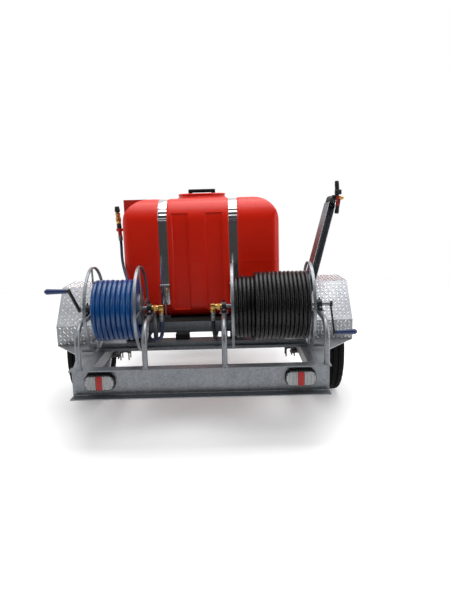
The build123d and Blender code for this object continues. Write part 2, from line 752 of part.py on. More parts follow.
PIPE_XS = {"left": -308, "right": 76}
PIPE_Z = 477
PIPE_START = REAR + 620
FEED_ROUTES = {
    "left": [
        (-207, REAR + 262, 605),
        (-207, REAR + 262, 578),
        (-205, REAR + 263, 545),
        (-214, REAR + 276, 513),
        (-238, REAR + 303, 491),
        (-268, REAR + 343, 481),
        (-293, REAR + 395, 478),
        (-305, REAR + 450, 477.4),
        (-308.6, REAR + 508, 477.2),
        (-308, REAR + 566, 477),
        (-308, REAR + 620, 477),
    ],
    "right": [
        (66, REAR + 262, 605),
        (66, REAR + 262, 578),
        (67, REAR + 270, 545),
        (70, REAR + 292, 510),
        (73, REAR + 332, 487),
        (75, REAR + 384, 479),
        (76, REAR + 442, 477.6),
        (76.4, REAR + 502, 477.3),
        (76, REAR + 562, 477),
        (76, REAR + 620, 477),
    ],
}


def make_feed_hoses():
    """Short feed hoses that drop from each elbow and run forward over the rear bearer."""
    for name, route in FEED_ROUTES.items():
        with BuildPart() as feed:
            volume = hose(route, HOSE_FEED, f"{name}_feed_hose")
        print("volume against section times length", round(feed.part.volume / volume, 4))
        write(feed, f"{name}_feed_hose")


# ---------------------------------------------------------------- tank
def tank_form(side_inset, face_inset, floor_inset):
    """The rounded tank block: three rounded outlines crossed, each inset from the outside."""
    half = TANK_HALF - side_inset
    rear, front = TANK_REAR + face_inset, TANK_FRONT - face_inset
    low, top = TANK_LOW + floor_inset, TANK_TOP - face_inset
    middle_y, middle_z = (rear + front) / 2, (low + top) / 2
    with BuildPart() as form:
        with BuildSketch(Plane.XZ.offset(-rear)) as elevation:
            with Locations((0, middle_z)):
                Rectangle(2 * half, top - low)
            fillet(elevation.vertices().group_by(Axis.Y)[-1], 140 - face_inset)
            fillet(elevation.vertices().group_by(Axis.Y)[0], 55 - floor_inset)
        extrude(elevation.sketch, amount=-(front - rear))
        with BuildSketch(Plane.YZ.offset(-half)) as profile:
            with Locations((middle_y, middle_z)):
                Rectangle(front - rear, top - low)
            fillet(profile.vertices().group_by(Axis.Y)[-1], 130 - face_inset)
            fillet(profile.vertices().group_by(Axis.Y)[0], 70 - floor_inset)
        extrude(profile.sketch, amount=2 * half, mode=Mode.INTERSECT)
        with BuildSketch(Plane.XY.offset(low)) as plan:
            with Locations((0, middle_y)):
                RectangleRounded(2 * half + EASE, front - rear + EASE, 45 - side_inset)
        extrude(plan.sketch, amount=top - low, mode=Mode.INTERSECT)
    return form.part


def make_tank():
    """Rotomoulded tank with strap grooves, pressed rear panel, filler neck and sump outlet."""
    outside = tank_form(0, 0, 0)
    inside = tank_form(8, 14, 10)
    groove_core = tank_form(-5, GROOVE_DEPTH, -20)
    groove = STRAP_WIDTH / 2 + 4
    with BuildPart() as slabs:
        for x in STRAP_XS:
            block((x - groove, TANK_REAR - 10, TANK_LOW - 30), (x + groove, TANK_FRONT + 10, TANK_TOP + 10))
        add(groove_core, mode=Mode.SUBTRACT)
    with BuildPart() as tank:
        add(outside)
        add(slabs.part, mode=Mode.SUBTRACT)
        for x_low, x_high in ((-163, -70), (27, 122)):
            block((x_low, TANK_REAR - 1, 606), (x_high, TANK_REAR + 7, RECESS_TOP), mode=Mode.SUBTRACT)
        rod((0, NECK_Y, TANK_TOP - 30), (0, NECK_Y, TANK_TOP + 20), NECK_RADIUS)
        add(inside, mode=Mode.SUBTRACT)
        rod((0, NECK_Y, TANK_TOP - 40), (0, NECK_Y, TANK_TOP + 30), NECK_RADIUS - 12, mode=Mode.SUBTRACT)
        hinge_y = NECK_Y + NECK_RADIUS + 10
        for side in (-1, 1):
            block(
                (side * 29, NECK_Y + NECK_RADIUS + 4, TANK_TOP - 4),
                (side * 37, hinge_y + 8, TANK_TOP + 34),
            )
        rod((-40, hinge_y, TANK_TOP + 26), (40, hinge_y, TANK_TOP + 26), 5.8 + RUNNING, mode=Mode.SUBTRACT)
        rod((0, TANK_FRONT - 4, 612), (0, TANK_FRONT + 22, 612), 30)
        rod((0, TANK_FRONT - 30, 612), (0, TANK_FRONT + 30, 612), 20, mode=Mode.SUBTRACT)
    write(tank, "tank")


def make_lid():
    """Black lid with a bow handle, hinged at its front edge, and the strainer basket below it."""
    hinge_y = NECK_Y + NECK_RADIUS + 10
    with BuildPart() as tank_lid:
        rod((0, NECK_Y, TANK_TOP + 20.2), (0, NECK_Y, LID_TOP), NECK_RADIUS + 2)
        fillet(tank_lid.edges().filter_by(GeomType.CIRCLE).group_by(Axis.Z)[-1], 3)
        block((-28, NECK_Y + 100, TANK_TOP + 20.2), (28, hinge_y + 2, LID_TOP - 2))
        rod((-37, hinge_y, TANK_TOP + 26), (37, hinge_y, TANK_TOP + 26), 5.8)
        with BuildLine() as bow:
            ends = [(-78, LID_TOP - 1), (-62, LID_TOP + 20), (62, LID_TOP + 20), (78, LID_TOP - 1)]
            FilletPolyline(*[(x, NECK_Y, z) for x, z in ends], radius=14)
        with BuildSketch(Plane(origin=(-78, NECK_Y, LID_TOP - 1), z_dir=(16, 0, 21))) as section:
            RectangleRounded(12, 26, 4)
        sweep(section.sketch, path=bow.line)
    write(tank_lid, "tank_lid")
    with BuildPart() as strainer_basket:
        radius = NECK_RADIUS - 12.6
        rod((0, NECK_Y, TANK_TOP - 170), (0, NECK_Y, TANK_TOP + 20), radius)
        rod((0, NECK_Y, TANK_TOP - 166), (0, NECK_Y, TANK_TOP + 20), radius - 3, mode=Mode.SUBTRACT)
        for ring in range(5):
            for step in range(12):
                around = math.radians(30 * step + 15 * (ring % 2))
                z = TANK_TOP - 150 + 26 * ring
                rod(
                    (0, NECK_Y, z),
                    (160 * math.cos(around), NECK_Y + 160 * math.sin(around), z),
                    9,
                    mode=Mode.SUBTRACT,
                )
    write(strainer_basket, "strainer_basket")


def make_straps():
    """Two bright flat straps in the tank's grooves, and the T-bolt tensioners at their rear ends."""
    outer = GROOVE_DEPTH - 2.5
    inner = GROOVE_DEPTH - 0.5
    strap_low = 640
    with BuildPart() as band:
        add(tank_form(-200, outer, -20))
        add(tank_form(-220, inner, -40), mode=Mode.SUBTRACT)
    with BuildPart() as tank_straps:
        for x in STRAP_XS:
            with BuildPart(mode=Mode.PRIVATE) as window:
                block(
                    (x - STRAP_WIDTH / 2, TANK_REAR - 10, strap_low),
                    (x + STRAP_WIDTH / 2, TANK_FRONT + 10, TANK_TOP + 10),
                )
            add(band.part & window.part)
    write(tank_straps, "tank_straps")
    with BuildPart() as strap_tensioners:
        for x in STRAP_XS:
            for y, out in ((TANK_REAR, -1), (TANK_FRONT, 1)):
                face = y - out * outer
                tip = face + out * 9
                rod((x - 28, tip, 752), (x + 28, tip, 752), 6)
                rod((x, tip, 575), (x, tip, 752), 5)
                hexagon((x, tip, 640), (x, tip, 650), 17)
                block((x - 26, tip - 6, 561), (x + 26, tip + 6, 577))
    write(strap_tensioners, "strap_tensioners")


def make_skid():
    """Welded frame under the tank, the rubber blocks that carry it, and the mats on top of it."""
    front = BEARER_YS[1] + BEARER_WIDTH
    with BuildPart() as tank_skid:
        block((-TANK_HALF, SKID_REAR, SKID_LOW), (TANK_HALF, SKID_REAR + 60, TANK_LOW - MAT))
        block((-TANK_HALF, front - 60, SKID_LOW), (TANK_HALF, front, TANK_LOW - MAT))
        for side in (-1, 1):
            x_low, x_high = sorted((side * (TANK_HALF - 60), side * TANK_HALF))
            block((x_low, SKID_REAR + 50, SKID_LOW), (x_high, front - 50, TANK_LOW - MAT))
        wall = 4
        block(
            (-TANK_HALF + wall, SKID_REAR + wall, SKID_LOW - 1),
            (TANK_HALF - wall, SKID_REAR + 60 - wall, TANK_LOW - MAT - wall),
            mode=Mode.SUBTRACT,
        )
        for x in (-258, 164):
            for z in (SKID_LOW + 20, SKID_LOW + 44):
                block((x - 14, SKID_REAR - 1, z - 3), (x + 14, SKID_REAR + 6, z + 3), mode=Mode.SUBTRACT)
    write(tank_skid, "tank_skid")
    with BuildPart() as rubber_mounts:
        for x in SKID_XS:
            for y in (REAR + 410, BEARER_YS[1] + 20):
                block((x - 38, y, BEARER_TOP), (x + 38, y + 55, SKID_LOW))
        for y in (SKID_REAR, front - 60):
            block((-TANK_HALF, y, TANK_LOW - MAT), (TANK_HALF, y + 60, TANK_LOW - 0.1))
    write(rubber_mounts, "rubber_mounts")


# ---------------------------------------------------------------- pump set
ENGINE_Y = REAR + 1790


def make_pump_set():
    """Petrol engine with fuel tank, direct-coupled pump, and the pipes to tank and reels."""
    with BuildPart() as engine:
        block((-210, ENGINE_Y - 110, BEARER_TOP), (-180, ENGINE_Y + 110, BEARER_TOP + 24))
        block((10, ENGINE_Y - 110, BEARER_TOP), (40, ENGINE_Y + 110, BEARER_TOP + 24))
        block((-200, ENGINE_Y - 90, BEARER_TOP + 20), (30, ENGINE_Y + 90, BEARER_TOP + 150))
        rod((-260, ENGINE_Y, BEARER_TOP + 96), (-200, ENGINE_Y, BEARER_TOP + 96), 92)
        block((-160, ENGINE_Y + 60, BEARER_TOP + 110), (0, ENGINE_Y + 150, BEARER_TOP + 230))
        rod((30, ENGINE_Y, BEARER_TOP + 80), (42, ENGINE_Y, BEARER_TOP + 80), 60)
    write(engine, "engine")
    with BuildPart() as fuel_tank:
        block((-196, ENGINE_Y - 95, BEARER_TOP + 156), (40, ENGINE_Y + 55, BEARER_TOP + 246))
        fillet(fuel_tank.edges().filter_by(Axis.Z), 30)
        fillet(fuel_tank.faces().sort_by(Axis.Z)[-1].edges(), 20)
        rod((-90, ENGINE_Y - 20, BEARER_TOP + 240), (-90, ENGINE_Y - 20, BEARER_TOP + 262), 28)
        for x in (-170, 0):
            rod((x, ENGINE_Y - 60, BEARER_TOP + 150), (x, ENGINE_Y - 60, BEARER_TOP + 160), 12)
    write(fuel_tank, "fuel_tank")
    with BuildPart() as pump:
        rod((42, ENGINE_Y, BEARER_TOP + 80), (110, ENGINE_Y, BEARER_TOP + 80), 58)
        rod((110, ENGINE_Y, BEARER_TOP + 80), (190, ENGINE_Y, BEARER_TOP + 80), 82)
        rod((190, ENGINE_Y, BEARER_TOP + 80), (212, ENGINE_Y, BEARER_TOP + 80), 60)
        block((60, ENGINE_Y - 70, BEARER_TOP), (180, ENGINE_Y + 70, BEARER_TOP + 20))
        rod((150, ENGINE_Y, BEARER_TOP + 130), (150, ENGINE_Y, BEARER_TOP + 190), 26)
    write(pump, "pump")
    with BuildPart() as pipework:
        rod((0, TANK_FRONT + 22.1, 612), (0, TANK_FRONT + 66, 612), 21)
        rod((0, TANK_FRONT + 66, 636), (0, TANK_FRONT + 66, 545), 24)
        rod((0, TANK_FRONT + 66, 566), (250, TANK_FRONT + 66, 566), 19)
        rod((250, TANK_FRONT + 44, 566), (250, ENGINE_Y + 26, 542), 22)
        rod((248, ENGINE_Y, BEARER_TOP + 80), (212.1, ENGINE_Y, BEARER_TOP + 80), 18)
        for x in PIPE_XS.values():
            rod((x, PIPE_START, PIPE_Z), (x, REAR + 1440, PIPE_Z), 9)
            hexagon((x, PIPE_START, PIPE_Z), (x, PIPE_START + 18, PIPE_Z), 24)
    write(pipework, "pipework")


# ---------------------------------------------------------------- guns
GUN_X = -468
GUN_Y = REAR + 622
GUN_LOW = 1014


def make_left_gun():
    """Straight brass gun with a twist nozzle, the red shoulder bracket that clips it, and its whip."""
    lean = Vector(-12, 4, 188).normalized()
    base = Vector(GUN_X, GUN_Y, GUN_LOW)

    def along(distance):
        return tuple(base + lean * distance)

    with BuildPart() as left_gun_body:
        rod(along(0), along(24), 13)
        rod(along(24), along(52), 11)
        rod(along(52), along(96), 13.5)
        rod(along(96), along(150), 15)
        rod(along(150), along(158), 9)
        rod(along(158), along(172), 7.5)
    write(left_gun_body, "left_gun_body")
    with BuildPart() as left_gun_nozzle:
        rod(along(158.2), along(192), 14.5)
        rod(along(158.2), along(172.2), 7.5 + RUNNING, mode=Mode.SUBTRACT)
        rod(along(172), along(193), 4, mode=Mode.SUBTRACT)
    write(left_gun_nozzle, "left_gun_nozzle")
    return along


def make_gun_bracket(along):
    """Red plate over the tank's rounded left shoulder, with a sprung clip round the gun."""
    plate_y = TANK_REAR + 118
    shoulder = TANK_HALF - 140
    with BuildPart() as gun_bracket:
        with BuildSketch(Plane.XZ.offset(-plate_y)) as plate:
            with BuildLine():
                Polyline(
                    (-shoulder, TANK_TOP + 0.3),
                    (-TANK_HALF - 2, TANK_TOP + 0.3),
                    (-TANK_HALF - 2, 1010),
                    (-TANK_HALF - 0.3, 1010),
                    (-TANK_HALF - 0.3, TANK_TOP - 140),
                )
                ThreePointArc(
                    (-TANK_HALF - 0.3, TANK_TOP - 140),
                    (
                        -shoulder - 140.3 * math.cos(math.pi / 4),
                        TANK_TOP - 140 + 140.3 * math.sin(math.pi / 4),
                    ),
                    (-shoulder, TANK_TOP + 0.3),
                )
            make_face()
        extrude(plate.sketch, amount=-26)
        clip_z = along(52)[2] + 6
        block((-TANK_HALF - 8, plate_y - 30, clip_z - 8), (-TANK_HALF - 2, plate_y + 20, clip_z + 8))
        rod(
            (along(58)[0], along(58)[1], clip_z - 8), (along(58)[0], along(58)[1], clip_z + 8), 19
        )
        rod(
            (along(58)[0], along(58)[1], clip_z - 9),
            (along(58)[0], along(58)[1], clip_z + 9),
            14.6,
            mode=Mode.SUBTRACT,
        )
        block(
            (along(58)[0] + 15, plate_y - 56, clip_z - 8), (-TANK_HALF - 2, plate_y - 25, clip_z + 8)
        )
    write(gun_bracket, "gun_bracket")


WHIP_ROUTE = [
    (-468, REAR + 622, 1013.8),
    (-466.5, REAR + 621.2, 975),
    (-464, REAR + 603, 935),
    (-458, REAR + 582, 893),
    (-446, REAR + 553, 852),
    (-430, REAR + 522, 812),
    (-412, REAR + 488, 776),
    (-401, REAR + 452, 745),
    (-394, REAR + 430, 715),
]


def make_whip():
    """Whip hose from the left gun down to the front of the wound hose."""
    with BuildPart() as left_whip_hose:
        volume = hose(WHIP_ROUTE, HOSE_WHIP, "left_whip_hose")
    print("volume against section times length", round(left_whip_hose.part.volume / volume, 4))
    write(left_whip_hose, "left_whip_hose")


ARM_FOOT = Vector(543, REAR + 556, 470)
ARM_TOP = Vector(775, REAR + 800, 1186)
ARM_TWIST = 28
CHEEK = 37


def make_arm():
    """Leaning galvanised gun arm, a channel open to the rear, on its pivot bracket."""
    way = ARM_TOP - ARM_FOOT
    up = way.normalized()
    across = (Vector(1, 0, 0) - up * up.X).normalized()
    pivot = up.cross(across)
    with BuildPart() as gun_arm_bracket:
        block((508, REAR + 506, CHANNEL_TOP), (590, REAR + 610, CHANNEL_TOP + 6))
        for end in (-1, 1):
            with BuildSketch(
                Plane(origin=ARM_FOOT + pivot * (end * CHEEK), x_dir=across, z_dir=pivot * end)
            ) as cheek:
                Circle(22)
                with Locations((0, end * 32)):
                    Rectangle(44, 60)
            extrude(cheek.sketch, amount=4)
        block((450, REAR + 480, 380), (650, REAR + 660, CHANNEL_TOP), mode=Mode.SUBTRACT)
        bolt = CHEEK + 9
        rod(tuple(ARM_FOOT - pivot * bolt), tuple(ARM_FOOT + pivot * bolt), 6)
        hexagon(tuple(ARM_FOOT - pivot * (bolt + 6)), tuple(ARM_FOOT - pivot * (bolt - 1)), 19)
        hexagon(tuple(ARM_FOOT + pivot * (bolt - 1)), tuple(ARM_FOOT + pivot * (bolt + 6)), 19)
    write(gun_arm_bracket, "gun_arm_bracket")

    with BuildPart() as gun_arm:
        twist = math.radians(ARM_TWIST)
        sideways = across * math.cos(twist) + pivot * math.sin(twist)
        with BuildSketch(Plane(origin=ARM_FOOT - up * 10, x_dir=sideways, z_dir=up)) as section:
            Rectangle(50, 48)
            with Locations((0, -5)):
                Rectangle(44, 48, mode=Mode.SUBTRACT)
        extrude(section.sketch, amount=way.length + 10)
        rod(
            tuple(ARM_FOOT - pivot * 52), tuple(ARM_FOOT + pivot * 52), 6 + RUNNING,
            mode=Mode.SUBTRACT,
        )
    write(gun_arm, "gun_arm")


def make_right_gun():
    """Trigger gun: clamp head, body with nozzle and valve knob, grip, and the hinged red trigger."""
    up = (ARM_TOP - ARM_FOOT).normalized()
    top = ARM_TOP + up * 0.2
    x, y, z = 812, REAR + 800, 1215
    with BuildPart() as right_gun_body:
        rod(tuple(top), tuple(top + up * 42), 29)
        block((x - 26, y - 14, z - 22), (x - 4, y + 14, z + 22))
        block((x - 8, y - 17, z + 24), (x + 30, y + 17, z + 54))
        rod((x + 6, y, z + 50), (x + 2, y, z + 106), 13)
        block((x - 8, y - 12, z - 8), (x + 16, y + 12, z + 30))
        rod((x + 14, y, z - 4), (x + 2, y, z - 90), 13)
        rod((x + 16, y, z + 6), (x + 46, y, z + 2), 12)
        pin_y, pin_z = y - 19.2, z + 10
        for cheek in (-1, 1):
            block((x + cheek * 5.1, pin_y - 6, pin_z - 7), (x + cheek * 9, y - 12, pin_z + 7))
        rod((x - 12, pin_y, pin_z), (x + 12, pin_y, pin_z), 2.5 + RUNNING, mode=Mode.SUBTRACT)
    write(right_gun_body, "right_gun_body")
    with BuildPart() as right_gun_trigger:
        rod((x - 5, pin_y, pin_z), (x + 5, pin_y, pin_z), 5)
        rod((x - 9, pin_y, pin_z), (x + 9, pin_y, pin_z), 2.5)
        block((x - 5, y - 44, pin_z - 4), (x + 5, pin_y, pin_z + 4))
        block((x - 5, y - 44, z - 44), (x + 5, y - 38, pin_z + 4))
    write(right_gun_trigger, "right_gun_trigger")


make_rear_crossmember()
make_rails()
make_crossmembers()
make_drawbars()
make_axle()
make_springs()
make_brackets()
make_wheels()
make_mudguards()
make_lamps()
make_coupling()
make_jockey()
make_bearings()
for reel_name, reel_sizes in REELS.items():
    make_reel_stand(reel_name, reel_sizes)
    make_reel(reel_name, reel_sizes)
make_feed_fittings()
make_feed_hoses()
make_tank()
make_lid()
make_straps()
make_skid()
make_pump_set()
gun_line = make_left_gun()
make_gun_bracket(gun_line)
make_whip()
make_arm()
make_right_gun()
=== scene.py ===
"""Visual model of the wheeled sprayer cart, built round its CAD frame."""

import json
import math

import bmesh
import bpy
from mathutils import Matrix, Vector, noise


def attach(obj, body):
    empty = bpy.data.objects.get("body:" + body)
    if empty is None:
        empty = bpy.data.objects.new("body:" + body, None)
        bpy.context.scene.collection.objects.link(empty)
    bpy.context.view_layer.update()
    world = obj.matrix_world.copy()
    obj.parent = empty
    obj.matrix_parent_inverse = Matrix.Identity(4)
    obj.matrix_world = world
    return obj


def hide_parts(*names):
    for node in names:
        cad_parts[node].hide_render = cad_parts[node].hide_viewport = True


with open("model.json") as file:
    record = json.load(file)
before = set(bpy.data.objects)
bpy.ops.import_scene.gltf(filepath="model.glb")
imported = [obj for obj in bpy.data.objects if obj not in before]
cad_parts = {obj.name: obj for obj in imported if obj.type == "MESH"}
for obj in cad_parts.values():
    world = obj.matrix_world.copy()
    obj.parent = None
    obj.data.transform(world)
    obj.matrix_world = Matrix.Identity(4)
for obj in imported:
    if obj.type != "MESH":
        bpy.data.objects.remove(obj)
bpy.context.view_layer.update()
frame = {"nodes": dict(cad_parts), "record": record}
nodes = frame["nodes"]

# Shared places, in metres. +X right, +Y forward to the tow ball, +Z up.
REAR = -1.55
AXLE_Y = REAR + 0.262
AXLE_Z = 0.675
TANK_REAR = REAR + 0.544
TANK_FRONT = REAR + 1.544
NECK_Y = REAR + 0.860
WHEEL = {side: Vector((side * 0.741, REAR + 0.890, 0.307)) for side in (-1, 1)}
X_AXIS = Vector((1, 0, 0))
Y_AXIS = Vector((0, 1, 0))
Z_AXIS = Vector((0, 0, 1))
# Diameters of the wound hoses.
BLUE = 0.0253
BLACK = 0.02133


# ---------------------------------------------------------------- materials
def add_node(tree, kind, inputs=None, **settings):
    """A shader node with its settings and input values."""
    node = tree.nodes.new(kind)
    for key, value in settings.items():
        setattr(node, key, value)
    for key, value in (inputs or {}).items():
        node.inputs[key].default_value = value
    return node


def texture_space(tree, stretch):
    """Object coordinates, scaled per axis."""
    place = add_node(tree, "ShaderNodeTexCoord")
    mapping = add_node(tree, "ShaderNodeMapping", {"Scale": stretch})
    tree.links.new(place.outputs["Object"], mapping.inputs["Vector"])
    return mapping.outputs["Vector"]


def noise_value(tree, scale, stretch=(1, 1, 1), detail=4.0, low=0.3, high=0.7):
    """Noise from 0 to 1, with its contrast raised."""
    texture = add_node(tree, "ShaderNodeTexNoise", {"Scale": scale, "Detail": detail})
    tree.links.new(texture_space(tree, stretch), texture.inputs["Vector"])
    spread = add_node(tree, "ShaderNodeMapRange", {"From Min": low, "From Max": high})
    tree.links.new(texture.outputs["Fac"], spread.inputs["Value"])
    return spread.outputs["Result"]


def blend_colours(tree, factor, first, second):
    """A mix of two colours; either may be a socket."""
    mix = add_node(tree, "ShaderNodeMix", data_type="RGBA")
    tree.links.new(factor, mix.inputs[0])
    for socket, value in ((mix.inputs[6], first), (mix.inputs[7], second)):
        if isinstance(value, tuple):
            socket.default_value = (*value, 1)
        else:
            tree.links.new(value, socket)
    return mix.outputs[2]


def finish_surface(tree, colour, rough_factor, rough, height, depth):
    """Feed colour, a roughness range and a bump to the surface shader."""
    shader = tree.nodes["Principled BSDF"]
    tree.links.new(colour, shader.inputs["Base Color"])
    spread = add_node(tree, "ShaderNodeMapRange", {"To Min": rough[0], "To Max": rough[1]})
    tree.links.new(rough_factor, spread.inputs["Value"])
    tree.links.new(spread.outputs["Result"], shader.inputs["Roughness"])
    if depth:
        bump = add_node(tree, "ShaderNodeBump", {"Strength": 1.0, "Distance": depth})
        tree.links.new(height, bump.inputs["Height"])
        tree.links.new(bump.outputs["Normal"], shader.inputs["Normal"])
    return shader


def material(
    name, dark, light, metallic=0.0, rough=(0.4, 0.55), grain=(120.0, 0.0002), cloud=6.0, **more
):
    """A surface with soft colour clouds, fine grain and varied roughness."""
    mat = bpy.data.materials.new(name)
    mat.use_nodes = True
    tree = mat.node_tree
    clouds = noise_value(tree, cloud)
    fine = noise_value(tree, grain[0], detail=2.0, low=0.2, high=0.8)
    colour = blend_colours(tree, clouds, dark, light)
    shader = finish_surface(tree, colour, fine, rough, fine, grain[1])
    shader.inputs["Metallic"].default_value = metallic
    for key, value in more.items():
        shader.inputs[key.replace("_", " ")].default_value = value
    return mat


def galvanised_material(name, dark, light, streaks):
    """Hot-dip zinc: flat crystals of differing grey, faint runs and small pits."""
    mat = bpy.data.materials.new(name)
    mat.use_nodes = True
    tree = mat.node_tree
    cells = add_node(tree, "ShaderNodeTexVoronoi", {"Scale": 150.0, "Randomness": 1.0})
    tree.links.new(texture_space(tree, (1, 1, 1)), cells.inputs["Vector"])
    parts = add_node(tree, "ShaderNodeSeparateColor")
    tree.links.new(cells.outputs["Color"], parts.inputs["Color"])
    spangle = blend_colours(tree, parts.outputs["Red"], dark, light)
    runs = noise_value(tree, 14.0, stretch=(3.0, 3.0, 0.35))
    shade = add_node(tree, "ShaderNodeMapRange", {"To Min": 1.0 - streaks, "To Max": 1.0})
    tree.links.new(runs, shade.inputs["Value"])
    tint = add_node(tree, "ShaderNodeCombineColor")
    for channel in ("Red", "Green", "Blue"):
        tree.links.new(shade.outputs["Result"], tint.inputs[channel])
    worn = add_node(tree, "ShaderNodeMix", data_type="RGBA", blend_type="MULTIPLY")
    worn.inputs[0].default_value = 1.0
    tree.links.new(spangle, worn.inputs[6])
    tree.links.new(tint.outputs["Color"], worn.inputs[7])
    pits = noise_value(tree, 260.0, detail=2.0)
    shader = finish_surface(
        tree, worn.outputs[2], parts.outputs["Green"], (0.3, 0.5), pits, 0.00025
    )
    shader.inputs["Metallic"].default_value = 0.85
    return mat


MATS = {
    "galvanised": galvanised_material("galvanised", (0.215, 0.23, 0.25), (0.285, 0.30, 0.32), 0.14),
    # Painted light: the bars' pale colour is partly painted highlight, and the guards' sheet below
    # is the same metal darkened as painted shade.
    "chequer_plate": material(
        "chequer_plate", (0.72, 0.73, 0.75), (0.86, 0.87, 0.89), 0.9, (0.2, 0.32), (90.0, 0.0003)
    ),
    "chequer_sheet": material(
        "chequer_sheet", (0.27, 0.28, 0.30), (0.40, 0.41, 0.43), 0.85, (0.36, 0.5), (90.0, 0.0003)
    ),
    "tank_red": material(
        "tank_red", (0.58, 0.0110, 0.0012), (0.66, 0.0150, 0.0022), 0.0, (0.28, 0.38),
        (220.0, 0.0002), 3.0,
        Specular_IOR_Level=0.3
    ),
    "bracket_red": material(
        "bracket_red", (0.40, 0.010, 0.004), (0.46, 0.016, 0.006), 0.0, (0.35, 0.5)
    ),
    "polished_steel": material(
        "polished_steel", (0.66, 0.66, 0.67), (0.78, 0.78, 0.79), 1.0, (0.05, 0.12),
        (300.0, 0.00004)
    ),
    "tyre_rubber": material(
        "tyre_rubber", (0.0025, 0.0025, 0.003), (0.006, 0.006, 0.0065), 0.0, (0.7, 0.9),
        (180.0, 0.0005),
        Specular_IOR_Level=0.12
    ),
    "rim_silver": material("rim_silver", (0.34, 0.35, 0.37), (0.46, 0.47, 0.49), 0.7, (0.28, 0.42)),
    "dark_steel": material(
        "dark_steel", (0.020, 0.020, 0.022), (0.045, 0.045, 0.048), 0.5, (0.4, 0.6)
    ),
    "black_plastic": material(
        "black_plastic", (0.006, 0.006, 0.0065), (0.013, 0.013, 0.014), 0.0, (0.35, 0.5),
        Specular_IOR_Level=0.4
    ),
    "rubber": material(
        "rubber", (0.005, 0.005, 0.005), (0.011, 0.011, 0.011), 0.0, (0.6, 0.8),
        Specular_IOR_Level=0.3
    ),
    "blue_grip": material(
        "blue_grip", (0.005, 0.018, 0.085), (0.009, 0.028, 0.12), 0.0, (0.3, 0.45)
    ),
    "blue_hose": material(
        "blue_hose", (0.0006, 0.036, 0.145), (0.0012, 0.066, 0.24), 0.0, (0.16, 0.28),
        (60.0, 0.0004), 9.0,
        Specular_IOR_Level=0.5
    ),
    # Painted shade: navy_hose is a darker copy of the blue hose's colour, for the loose blue hoses.
    "navy_hose": material(
        "navy_hose", (0.004, 0.013, 0.055), (0.006, 0.020, 0.08), 0.0, (0.3, 0.42), (80.0, 0.0003)
    ),
    "black_hose": material(
        "black_hose", (0.0035, 0.0035, 0.0042), (0.009, 0.009, 0.0105), 0.0, (0.18, 0.34),
        (240.0, 0.0005), 14.0,
        Specular_IOR_Level=0.26
    ),
    "brass": material("brass", (0.48, 0.27, 0.075), (0.66, 0.42, 0.15), 1.0, (0.22, 0.38)),
    "lamp_clear": material("lamp_clear", (0.46, 0.47, 0.48), (0.66, 0.67, 0.68), 0.6, (0.10, 0.2)),
    "lamp_base": material(
        "lamp_base", (0.05, 0.052, 0.055), (0.10, 0.103, 0.108), 0.4, (0.2, 0.35)
    ),
    "trigger_red": material(
        "trigger_red", (0.38, 0.006, 0.006), (0.46, 0.012, 0.010), 0.0, (0.3, 0.45)
    ),
    "engine_paint": material(
        "engine_paint", (0.018, 0.018, 0.02), (0.035, 0.035, 0.038), 0.3, (0.35, 0.55)
    ),
    "fuel_tank_paint": material(
        "fuel_tank_paint", (0.38, 0.009, 0.005), (0.46, 0.018, 0.008), 0.0, (0.2, 0.3)
    ),
    "pump_casting": material(
        "pump_casting", (0.28, 0.285, 0.295), (0.42, 0.43, 0.44), 0.8, (0.4, 0.6), (150.0, 0.0006)
    ),
}
for part in frame["record"]["subparts"]:
    shown = nodes[part["node"]].data
    shown.materials.clear()
    shown.materials.append(MATS[part["material_slot"]])
# Painted light: the guards' sheet is a darker, shaded copy of the tread-plate metal, and the raised
# bars on it a lighter copy, a painted highlight.
for node in ("mudguard_left", "mudguard_right"):
    nodes[node].data.materials[0] = MATS["chequer_sheet"]


# ---------------------------------------------------------------- making pieces
def settle(obj, slot_name, body, replaced=()):
    """Link a piece, give it its material, and tie it to its body and to its CAD nodes."""
    if obj.name not in bpy.context.scene.collection.objects:
        bpy.context.scene.collection.objects.link(obj)
    obj.data.materials.clear()
    obj.data.materials.append(MATS[slot_name])
    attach(obj, body)
    if replaced:
        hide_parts(*replaced)
    return obj


def piece(name, bm, slot_name, body, replaced=(), crease=0.6):
    """A mesh piece from a bmesh, smooth except across edges sharper than crease."""
    bm.normal_update()
    for face in bm.faces:
        face.smooth = True
    for edge in bm.edges:
        edge.smooth = edge.calc_face_angle(0.0) < crease
    mesh = bpy.data.meshes.new(name)
    bm.to_mesh(mesh)
    bm.free()
    return settle(bpy.data.objects.new(name, mesh), slot_name, body, replaced)


def basis(direction):
    """Two directions square to a third."""
    third = direction.normalized()
    helper = Z_AXIS if abs(third.z) < 0.9 else X_AXIS
    first = helper.cross(third).normalized()
    return first, third.cross(first), third


def spoke(first, second, around):
    """The way out from an axis, at an angle round it."""
    return first * math.cos(around) + second * math.sin(around)


def turned(bm, origin, direction, profile, segments=40):
    """Add a turned shape: profile is (distance along the axis, radius), closed at a radius of 0."""
    first, second, third = basis(direction)
    rings = []
    for along, radius in profile:
        centre = Vector(origin) + third * along
        if radius <= 0:
            rings.append([bm.verts.new(centre)])
            continue
        ring = []
        for step in range(segments):
            around = 2 * math.pi * step / segments
            ring.append(bm.verts.new(centre + spoke(first, second, around) * radius))
        rings.append(ring)
    for low, high in zip(rings, rings[1:]):
        if len(low) == len(high) == 1:
            continue
        for step in range(segments):
            after = (step + 1) % segments
            if len(low) == 1:
                bm.faces.new((low[0], high[after], high[step]))
            elif len(high) == 1:
                bm.faces.new((low[step], low[after], high[0]))
            else:
                bm.faces.new((low[step], low[after], high[after], high[step]))


